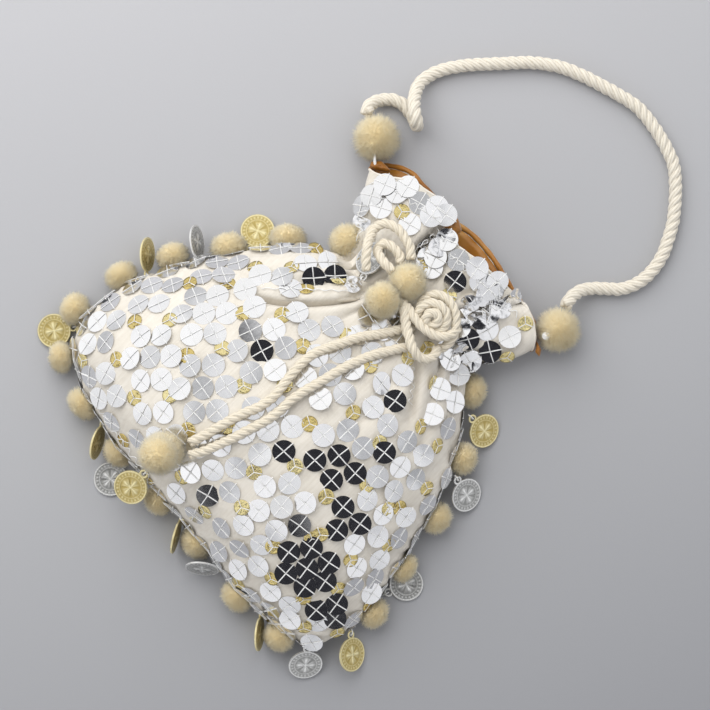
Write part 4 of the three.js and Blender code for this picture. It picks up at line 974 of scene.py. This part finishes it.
gs, gg, gth = Geo(), Geo(), Geo()
for c, n, gr, kind, tint in SEQ:
    X = unit(np.cross(gr, n))
    Y = np.cross(n, X)
    M = np.stack([X, Y, n])
    if kind == 0:
        k1, k2 = rng.normal(0, 0.05, 2)
        V, q, t = disc_mesh(5.6, 26, 2, lambda f, x: (k1 * math.cos(2 * x) + k2 * math.sin(2 * x)) * f * f, 0.12)
        gs.add(V @ M + c, q, t, None, tint=0.72 + 0.28 * tint)
        arms, R, wdt = 4, 5.6, 0.26
    else:
        m = 9
        V, q, t = disc_mesh(3.9, 36, 4, lambda f, x: 0.17 * math.sin(m * x + 3 * f + tint * 6) * f * (1.25 - f) + 0.14 * math.sin(13 * f + 2 * x + tint * 9), 0.14)
        gg.add(V @ M + c, q, t, None, tint=tint)
        arms, R, wdt = 3, 3.9, 0.24
    for k in range(arms):
        a = 2 * math.pi * k / arms + (0.0 if kind == 0 else 0.5) + rng.normal(0, 0.05)
        rr = np.array([0.0, 0.35, 0.7, 0.97, 1.10]) * R
        zz = np.array([0.30, 0.24, 0.22, 0.20, -0.25 if c[2] > 1 else 0.05])
        D = np.array([math.cos(a), math.sin(a), 0.0])
        S = np.array([-D[1], D[0], 0.0])
        C = rr[:, None] * D + np.stack([np.zeros(5), np.zeros(5), zz], 1)
        pr = np.stack([C + S * wdt, C + [0, 0, 0.22], C - S * wdt, C - [0, 0, 0.16]], 1).reshape(-1, 3)
        ii, jj = np.meshgrid(np.arange(4), np.arange(4), indexing="ij")
        ii, jj = ii.ravel(), jj.ravel()
        kk = (jj + 1) % 4
        qq = np.stack([ii * 4 + jj, ii * 4 + kk, (ii + 1) * 4 + kk, (ii + 1) * 4 + jj], 1)[:, ::-1]
        qq = np.concatenate([qq, [[0, 1, 2, 3]], [[19, 18, 17, 16]]])
        gth.add(pr @ M + c, qq)
for c, n, gr in CRUSHED:
    X = unit(np.cross(gr, n))
    M = np.stack([X, np.cross(n, X), n])
    V, q, t = disc_mesh(5.0, 22, 4, lambda f, x: 0.0, 0.12)
    turn, k0, k1, k2 = rng.uniform(0, math.pi), rng.uniform(0.10, 0.38), rng.uniform(-0.4, 0.4), rng.uniform(0, 6)
    u = V[:, 0] * math.cos(turn) + V[:, 1] * math.sin(turn)
    w = -V[:, 0] * math.sin(turn) + V[:, 1] * math.cos(turn)
    V[:, 2] += -k0 * np.abs(u) + 0.17 * np.sin(0.9 * w + k2) + 0.10 * np.sin(1.6 * u + 0.8 * w) + 0.04 * k1 * w * w
    V[:, :2] *= 0.96
    gs.add(V @ M + c, q, t, None, tint=float(rng.uniform(0.55, 1.0)))

# silver thread crossing the gathers and running along the seam in zigzags
for line, amp, step in [[[[-5.24, 71.89], [-6.31, 79.31], [-6.31, 87.8], [-6.31, 96.28], [-6.31, 104.77]], 2.6, 1.9], [[[-8.43, 78.6], [-9.84, 88.5], [-9.13, 97.7]], 2.2, 1.7], [[[29.76, 75.77], [33.29, 84.26], [37.54, 94.16], [43.9, 105.47]], 2.8, 1.9], [[[26.93, 81.43], [30.46, 90.62], [35.06, 100.17]], 2.4, 1.8], [[[-19.74, 48.9], [-25.4, 57.39], [-30.35, 66.58], [-36.0, 75.07], [-41.66, 82.14]], 2.2, 1.8], [[[-24.34, 49.97], [-22.57, 58.8], [-20.45, 66.58]], 2.2, 1.8], [[[31.17, 58.8], [39.3, 59.16], [48.14, 60.22], [55.21, 65.88], [60.16, 75.07]], 2.4, 1.9], [[[-50.5, 17.44], [-40.25, 26.98], [-29.29, 37.24], [-18.33, 47.49]], 0.35, 3.2], [[[-106.71, -46.55], [-104.95, -28.52], [-99.29, -12.97], [-91.87, 0.82], [-81.97, 15.67], [-71.01, 29.46], [-57.22, 43.95], [-43.43, 54.92]], 1.1, 2.6], [[[-83.38, -74.13], [-64.29, -81.91], [-40.25, -86.15], [-14.79, -90.4], [12.79, -96.76], [41.07, -100.29], [67.23, -100.29], [87.74, -93.93]], 1.1, 2.6], [[[59.1, 52.09], [70.42, 38.65], [83.5, 16.38], [93.4, -9.08], [99.41, -34.89], [101.88, -58.58], [99.41, -80.85]], 1.1, 2.6], [[[-49.44, 94.16], [-39.54, 96.99], [-27.87, 100.88], [-16.2, 104.77], [-8.43, 105.47]], 1.3, 2.2], [[[-3.12, 95.93], [9.25, 96.28], [22.69, 96.99], [36.83, 98.4], [49.2, 98.76]], 1.3, 2.2], [[[52.38, 61.63], [58.39, 69.76], [64.76, 81.08], [66.53, 91.33]], 1.3, 2.2], [[[24.81, 45.37], [34.71, 38.3], [42.84, 28.75]], 1.6, 2.2]]:
    lie = 2.5 if amp > 2 else 1.0
    R_, s_ = route(np.array([[a, b, 0.0] for a, b in line]), step)
    tang = unit(np.gradient(R_, axis=0))
    pts = []
    for k in range(len(R_)):
        q_ = R_[k] + np.array([-tang[k][1], tang[k][0], 0.0]) * amp * (1 if k % 2 else -1) * rng.uniform(0.6, 1.2)
        d = unit(q_ - EYE)
        hit = bvh_f.ray_cast(Vector(EYE), Vector(d))
        if hit[0] is None:
            if len(pts) > 2:
                tube(gth, route(np.array(pts), 0.9)[0], 0.21, 4)
            pts = []
            continue
        h_ = np.array(hit[0]) + np.array(hit[1]) * (lie if hit[1].z > 0 else -lie)
        if coin_gap(h_)[0] < 10.5 and abs(coin_gap(h_)[1]) < 2.5:
            continue
        if pts and np.linalg.norm(h_ - pts[-1]) > 4 * amp + 3 * step:
            if len(pts) > 2:
                tube(gth, route(np.array(pts), 0.9)[0], 0.21, 4)
            pts = []
        pts.append(h_)
    if len(pts) > 2:
        tube(gth, route(np.array(pts), 0.9)[0], 0.21, 4)
gs.build("sequins_silver", SILVER, "sequin_silver", sharp=50)
gg.build("sequins_gold", GOLD, "sequin_gold")
gth.build("sequin_threads", THREAD, "thread")

# the rolled edge that overhangs the long fold beside the neck
lip = []
for (x, y), (xu, yu) in zip([[-47.67, 17.44], [-41.48, 22.56], [-34.59, 28.4], [-27.87, 34.41], [-21.15, 40.42], [-15.85, 45.02], [-11.26, 48.9]], [[-50.15, 19.91], [-43.96, 25.04], [-37.06, 30.87], [-30.35, 36.88], [-23.63, 42.89], [-18.33, 47.49], [-13.73, 51.38]]):
    d = unit(np.array([xu, yu, 0.0]) - EYE)
    hit = bvh_f.ray_cast(Vector(EYE), Vector(d))
    if hit[0] is not None:
        z = hit[0].z - 1.3
        q_ = EYE + (np.array([x, y, 0.0]) - EYE) * ((EYE[2] - z) / EYE[2])
        lip.append(q_)
lip = np.array(lip)
lip[1:-1, 2] = (lip[:-2, 2] + 2 * lip[1:-1, 2] + lip[2:, 2]) / 4
L_, s_ = route(lip, 0.8)
t_ = np.linspace(0, 1, len(L_))
L_[:, 2] -= 2.6 * np.abs(2 * t_ - 1) ** 6
g = Geo()
tube(g, L_, 0.15 + 1.75 * np.sin(math.pi * np.clip(t_ * 0.96 + 0.02, 0, 1)) ** 0.55 + 0.12 * np.sin(s_ * 0.55), 12)
g.build("fold_lip", IVORY, "ivory_fabric")

# running stitches that hold the hem
g = Geo()
for line in HEM:
    pts = []
    for x, y in line:
        d = unit(np.array([x, y, 0.0]) - EYE)
        hit = bvh_f.ray_cast(Vector(EYE), Vector(d))
        if hit[0] is not None:
            pts.append(np.array(hit[0]) + np.array(hit[1]) * (0.12 if hit[1].z > 0 else -0.12))
    if len(pts) < 2:
        continue
    P_, s_ = route(np.array(pts), 0.5)
    for k in range(0, len(P_) - 6, 7):
        seg = P_[k:k + 5].copy()
        seg[[0, -1], 2] -= 0.35
        tube(g, seg, 0.2, 5)
if g.n:
    g.build("hem_stitches", THREAD, "thread")


# ----------------------------------------------------------------------- tabs
def pillow(g, outline, z0, z1, rings=7, n=56):
    o = np.asarray(outline, float)
    o = np.vstack([o, o[:1]])
    d = np.r_[0, np.cumsum(np.linalg.norm(np.diff(o, axis=0), axis=1))]
    s = np.linspace(0, d[-1], n, endpoint=False)
    p = np.stack([np.interp(s, d, o[:, 0]), np.interp(s, d, o[:, 1])], 1)
    for _ in range(2):
        p = 0.25 * np.roll(p, 1, 0) + 0.5 * p + 0.25 * np.roll(p, -1, 0)
    area = 0.5 * np.sum(p[:, 0] * np.roll(p[:, 1], -1) - np.roll(p[:, 0], -1) * p[:, 1])
    if area < 0:
        p = p[::-1]
    c = p.mean(0)
    zm, hh = (z0 + z1) / 2, (z1 - z0) / 2
    for sgn in (1, -1):
        V = []
        for k in range(rings + 1):
            f = 1 - k / rings
            ring = c + (p - c) * f
            prof = (1 - f ** 3) ** 0.5
            fold = 0.35 * math.sin(6 * f) + 0.3 * np.sin(ring[:, 0] * 1.3 + ring[:, 1] * 0.7) * (1 - f)
            V.append(np.stack([ring[:, 0], ring[:, 1], zm + sgn * (hh * prof) + fold * prof], 1))
        if sgn == 1:
            top = V
        else:
            bot = V
    V = top[:-1] + [top[-1].mean(0, keepdims=True)]
    V2 = bot[1:-1] + [bot[-1].mean(0, keepdims=True)]
    verts = np.concatenate(V + V2)
    q, t = [], []
    for k in range(rings - 1):
        for j in range(n):
            m = (j + 1) % n
            q.append((k * n + j, k * n + m, (k + 1) * n + m, (k + 1) * n + j))
    ct = rings * n
    for j in range(n):
        t.append(((rings - 1) * n + j, (rings - 1) * n + (j + 1) % n, ct))
    o2 = ct + 1
    idx = lambda k, j: j if k == 0 else o2 + (k - 1) * n + j
    for k in range(rings - 1):
        for j in range(n):
            m = (j + 1) % n
            q.append((idx(k, m), idx(k, j), idx(k + 1, j), idx(k + 1, m)))
    cb = o2 + (rings - 1) * n
    for j in range(n):
        t.append((idx(rings - 1, (j + 1) % n), idx(rings - 1, j), cb))
    g.add(verts, np.array(q), np.array(t))


for side, outline in (("left", TAB_LEFT), ("right", TAB_RIGHT)):
    g = Geo()
    pillow(g, outline, 14.0, 17.8)
    g.build("satin_tab_" + side, SATIN, "satin", replaces=("handle_tab_" + side,))
g = Geo()
pillow(g, [[-9.2, 100.85], [-10.58, 106.4], [-9.72, 110.39], [-5.04, 109.87], [-0.18, 107.1], [-0.35, 102.41], [-4.34, 100.85]], 17.0, 25.5)
g.build("lining_fold", SATIN, "satin")
g = Geo()
for pts in [[[-58.45, 104.4, 15.0], [-56.39, 102.66, 17.5], [-54.13, 100.75, 17.5], [-51.77, 99.8, 16.0]], [[66.88, 100.02, 18.0], [66.72, 100.65, 18.06], [66.28, 101.11, 18.23], [65.67, 101.3, 18.4], [65.02, 101.16, 18.49], [64.49, 100.77, 18.42], [64.21, 100.24, 18.15], [64.24, 99.72, 17.75], [64.57, 99.36, 17.31], [65.13, 99.23, 16.98], [65.78, 99.31, 16.88], [66.38, 99.55, 17.06], [66.77, 99.83, 17.5], [66.88, 100.04, 18.11], [66.66, 100.13, 18.73], [66.19, 100.08, 19.18], [65.55, 99.95, 19.35], [64.92, 99.84, 19.19], [64.42, 99.82, 18.75], [64.19, 99.96, 18.15], [64.27, 100.23, 17.56], [64.65, 100.55, 17.13], [65.24, 100.82, 16.95], [65.89, 100.91, 17.05], [66.46, 100.75, 17.36], [66.81, 100.36, 17.76], [66.86, 99.82, 18.11], [66.6, 99.26, 18.33], [66.08, 98.84, 18.37], [65.44, 98.7, 18.28], [64.82, 98.88, 18.12], [64.36, 99.34, 18.0], [64.18, 99.97, 18.0], [64.32, 100.6, 18.12], [64.74, 101.06, 18.32], [65.35, 101.25, 18.52], [66.0, 101.13, 18.61], [66.54, 100.75, 18.51], [66.84, 100.25, 18.2], [66.84, 99.78, 17.75], [66.52, 99.45, 17.28], [65.98, 99.33, 16.92], [65.32, 99.42, 16.81], [64.72, 99.63, 16.99], [64.31, 99.87, 17.45], [64.18, 100.03, 18.07], [64.38, 100.06, 18.7], [64.84, 99.97, 19.16], [65.47, 99.82, 19.33], [66.11, 99.72, 19.18], [66.62, 99.74, 18.76], [66.87, 99.93, 18.18], [66.8, 100.25, 17.61], [66.44, 100.62, 17.21], [65.87, 100.91, 17.04], [65.21, 101.0, 17.14], [64.63, 100.84, 17.42], [64.26, 100.42, 17.77], [64.19, 99.85, 18.08], [64.44, 99.26, 18.25], [67.41, 102.62, 15.5]]]:
    P_, _ = route(np.array(pts), 0.5)
    tube(g, P_, 0.75, 8)
g.build("handle_ties", THREAD, "thread")


# ---------------------------------------------------------------------- coins
def coin(name, c, n, e, silver):
    c, n, e = np.array(c), unit(n), unit(e)
    e = unit(e - n * (e @ n))
    M = np.stack([np.cross(e, n), e, n])
    seg, rad = 96, [0, 0.9, 1.8, 2.7, 3.5, 4.2, 4.9, 5.3, 5.6, 5.9, 6.2, 6.7, 7.2, 7.6, 7.9, 8.2, 8.5]
    th = np.linspace(0, 2 * math.pi, seg, endpoint=False)
    def height(r, a):
        h = 0.16 / (1 + np.exp(-(r - 7.75) * 9)) * (1 - 0.75 * max(0.0, (r - 8.2) / 0.3))
        h = h + 0.10 * np.exp(-((r - 5.6) / 0.26) ** 2)
        if 5.95 < r < 7.6:
            band = math.sin(math.pi * (r - 5.95) / 1.65)
            h = h + 0.13 * band * (0.5 + 0.5 * np.sign(np.sin(24 * a)) * np.abs(np.sin(24 * a)) ** 0.5)
        if r < 5.2:
            petals = np.cos(4 * a) * 0.5 + 0.5
            h = h + 0.17 * petals * math.sin(math.pi * min(1, r / 5.2)) ** 1.2 + 0.12 * math.exp(-(r / 1.1) ** 2)
            h = h + 0.05 * np.cos(12 * a) * math.sin(math.pi * r / 5.2)
        return h
    g = Geo()
    for sg in (1, -1):
        V, low = [[0, 0, sg * (0.36 + 0.12)]], [0.0]
        for r in rad[1:]:
            h = height(r, th) + np.zeros(seg)
            V += np.stack([r * np.cos(th), r * np.sin(th), sg * (0.36 + h)], 1).tolist()
            # share of the painted recess shade: 1 in the low field, 0 on the raised relief
            low += (1 - np.clip(h / 0.18, 0, 1)).tolist()
        V, nr = np.array(V), len(rad) - 1
        q, t = [], []
        for j in range(seg):
            k = (j + 1) % seg
            t.append((0, 1 + j, 1 + k))
            for i in range(nr - 1):
                q.append((1 + i * seg + j, 1 + (i + 1) * seg + j, 1 + (i + 1) * seg + k, 1 + i * seg + k))
        q, t = np.array(q), np.array(t)
        if sg < 0:
            q, t = q[:, ::-1], t[:, ::-1]
        g.add(V @ M + c, q, t, None, low=np.array(low))
    # the edge between the faces
    r = 8.5
    z0 = 0.36 + float(np.max(height(8.5, th) + np.zeros(seg)))
    E = np.concatenate([np.stack([r * np.cos(th), r * np.sin(th), 0 * th + z], 1) for z in (z0, -z0)])
    j = np.arange(seg)
    k = (j + 1) % seg
    g.add(E @ M + c, np.stack([j, seg + j, seg + k, k], 1), None, None, low=0.2)
    # cast eyelet
    nn = 28
    a = np.linspace(0, 2 * math.pi, nn, endpoint=False)
    b = np.linspace(0, 2 * math.pi, 10, endpoint=False)
    A, B = np.meshgrid(a, b, indexing="ij")
    mr, tr_ = (2.3 + 1.25) / 2, (2.3 - 1.25) / 2
    V = np.stack([(mr + tr_ * np.cos(B)) * np.cos(A), (mr + tr_ * np.cos(B)) * np.sin(A) + EYELET_AT, 0.42 * np.sin(B)], -1).reshape(-1, 3)
    i, j = np.meshgrid(np.arange(nn), np.arange(10), indexing="ij")
    i, j = i.ravel(), j.ravel()
    i2, j2 = (i + 1) % nn, (j + 1) % 10
    g.add(V @ M + c, np.stack([i * 10 + j, i2 * 10 + j, i2 * 10 + j2, i * 10 + j2], 1), None, None, low=0.25)
    return g.build(name + "_struck", SILVER_COIN if silver else GOLD_COIN, "silver_coin" if silver else "gold_coin", body=name, replaces=(name,), sharp=40)


g = Geo()
for name, c, n, e in COINS:
    coin(name, c, n, e, "silver" in name)
    c, n, e = np.array(c), unit(n), unit(e)
    mid = c + e * (EYELET_AT + 1.55)
    a = np.linspace(0, 2 * math.pi, 33)
    loop = mid + 1.75 * np.cos(a)[:, None] * e + 1.15 * np.sin(a)[:, None] * n
    loop[:, 2] = np.maximum(loop[:, 2], 0.4)
    tube(g, loop, 0.27, 6)
    tube(g, loop[6:] + 0.12, 0.2, 6)
g.build("coin_threads", THREAD, "thread")


# -------------------------------------------------------------- floor, lights
def floor():
    m, nt, b = material("floor_paper")
    vec = obj_coords(nt)
    # painted light and shade: the floor colour is lighter towards the key light's side and darker away from it, with
    # faint random noise
    painted_light_falloff = nt.nodes.new("ShaderNodeVectorMath")
    painted_light_falloff.operation = "DOT_PRODUCT"
    nt.links.new(vec, painted_light_falloff.inputs[0])
    painted_light_falloff.inputs[1].default_value = (-0.82, 0.45, 0.0)
    f = maths(nt, "ADD", maths(nt, "MULTIPLY", painted_light_falloff.outputs["Value"], 2.0), maths(nt, "MULTIPLY", noise_tex(nt, vec, 2.0, 2.0), 0.1))
    f = maths(nt, "ADD", f, 0.45)
    col = ramp(nt, f, [(0.10, (0.306, 0.310, 0.330)), (0.5, (0.408, 0.412, 0.430)), (0.90, (0.490, 0.491, 0.512))])
    nt.links.new(col, b.inputs["Base Color"])
    bump(nt, b, noise_tex(nt, vec, 900.0, 3.0), 0.15, 0.0002)
    b.inputs["Roughness"].default_value = 0.75
    me = bpy.data.meshes.new("floor")
    s = 3.0
    me.from_pydata([(-s, -s, -0.0002), (s, -s, -0.0002), (s, s, -0.0002), (-s, s, -0.0002)], [], [(0, 1, 2, 3)])
    me.materials.append(m)
    ob = bpy.data.objects.new("floor", me)
    scene.collection.objects.link(ob)


floor()


def area(name, at, to, size, power, color=(1, 1, 1)):
    d = bpy.data.lights.new(name, "AREA")
    d.shape = "RECTANGLE"
    d.size, d.size_y = size
    d.energy = power
    d.color = color
    ob = bpy.data.objects.new(name, d)
    ob.location = at
    ob.rotation_euler = (Vector(to) - Vector(at)).to_track_quat("-Z", "Y").to_euler()
    scene.collection.objects.link(ob)
    return ob


key = area("key", (-0.74, 0.32, 0.88), (0, 0.03, 0), (1.25, 1.25), 12.0, (1.0, 0.99, 0.965))
key.visible_glossy = False

world = bpy.data.worlds.new("studio")
scene.world = world
world.use_nodes = True
nt = world.node_tree
bg = nt.nodes["Background"]
tc = nt.nodes.new("ShaderNodeTexCoord")
dot = nt.nodes.new("ShaderNodeVectorMath")
dot.operation = "DOT_PRODUCT"
nt.links.new(tc.outputs["Generated"], dot.inputs[0])
dot.inputs[1].default_value = tuple(float(x) for x in DARK_DIR)
spot = ramp(nt, dot.outputs["Value"], [(math.cos(math.radians(24)), (1.0, 1.0, 1.0)), (math.cos(math.radians(18)), (0.02, 0.02, 0.025))])
panels = ramp(nt, noise_tex(nt, tc.outputs["Generated"], 5.2, 2.0, 0.5), [(0.35, (0.34, 0.345, 0.355)), (0.43, (0.58, 0.585, 0.60)), (0.51, (0.80, 0.805, 0.81)), (0.60, (0.89, 0.89, 0.895))])
side = nt.nodes.new("ShaderNodeVectorMath")
side.operation = "DOT_PRODUCT"
nt.links.new(tc.outputs["Generated"], side.inputs[0])
side.inputs[1].default_value = (-0.93, 0.30, 0.20)
slope = ramp(nt, maths(nt, "ADD", maths(nt, "MULTIPLY", side.outputs["Value"], 0.5), 0.5), [(0.15, (0.84, 0.845, 0.86)), (0.5, (0.99, 0.99, 1.0)), (0.72, (1.06, 1.058, 1.055))])
m0 = nt.nodes.new("ShaderNodeMixRGB")
m0.blend_type = "MULTIPLY"
m0.inputs["Fac"].default_value = 1.0
nt.links.new(spot, m0.inputs["Color1"])
nt.links.new(slope, m0.inputs["Color2"])
mx = nt.nodes.new("ShaderNodeMixRGB")
mx.blend_type = "MULTIPLY"
mx.inputs["Fac"].default_value = 1.0
nt.links.new(m0.outputs[0], mx.inputs["Color1"])
nt.links.new(panels, mx.inputs["Color2"])
glow = nt.nodes.new("ShaderNodeVectorMath")
glow.operation = "DOT_PRODUCT"
nt.links.new(tc.outputs["Generated"], glow.inputs[0])
glow.inputs[1].default_value = tuple(float(x) for x in BRIGHT_DIR)
lamp = ramp(nt, glow.outputs["Value"], [(math.cos(math.radians(27)), (0.0, 0.0, 0.0)), (math.cos(math.radians(20)), (0.86, 0.86, 0.855))])
top = nt.nodes.new("ShaderNodeMixRGB")
top.blend_type = "LIGHTEN"
top.inputs["Fac"].default_value = 1.0
nt.links.new(mx.outputs[0], top.inputs["Color1"])
nt.links.new(lamp, top.inputs["Color2"])
nt.links.new(top.outputs[0], bg.inputs["Color"])
bg.inputs["Strength"].default_value = 1.12
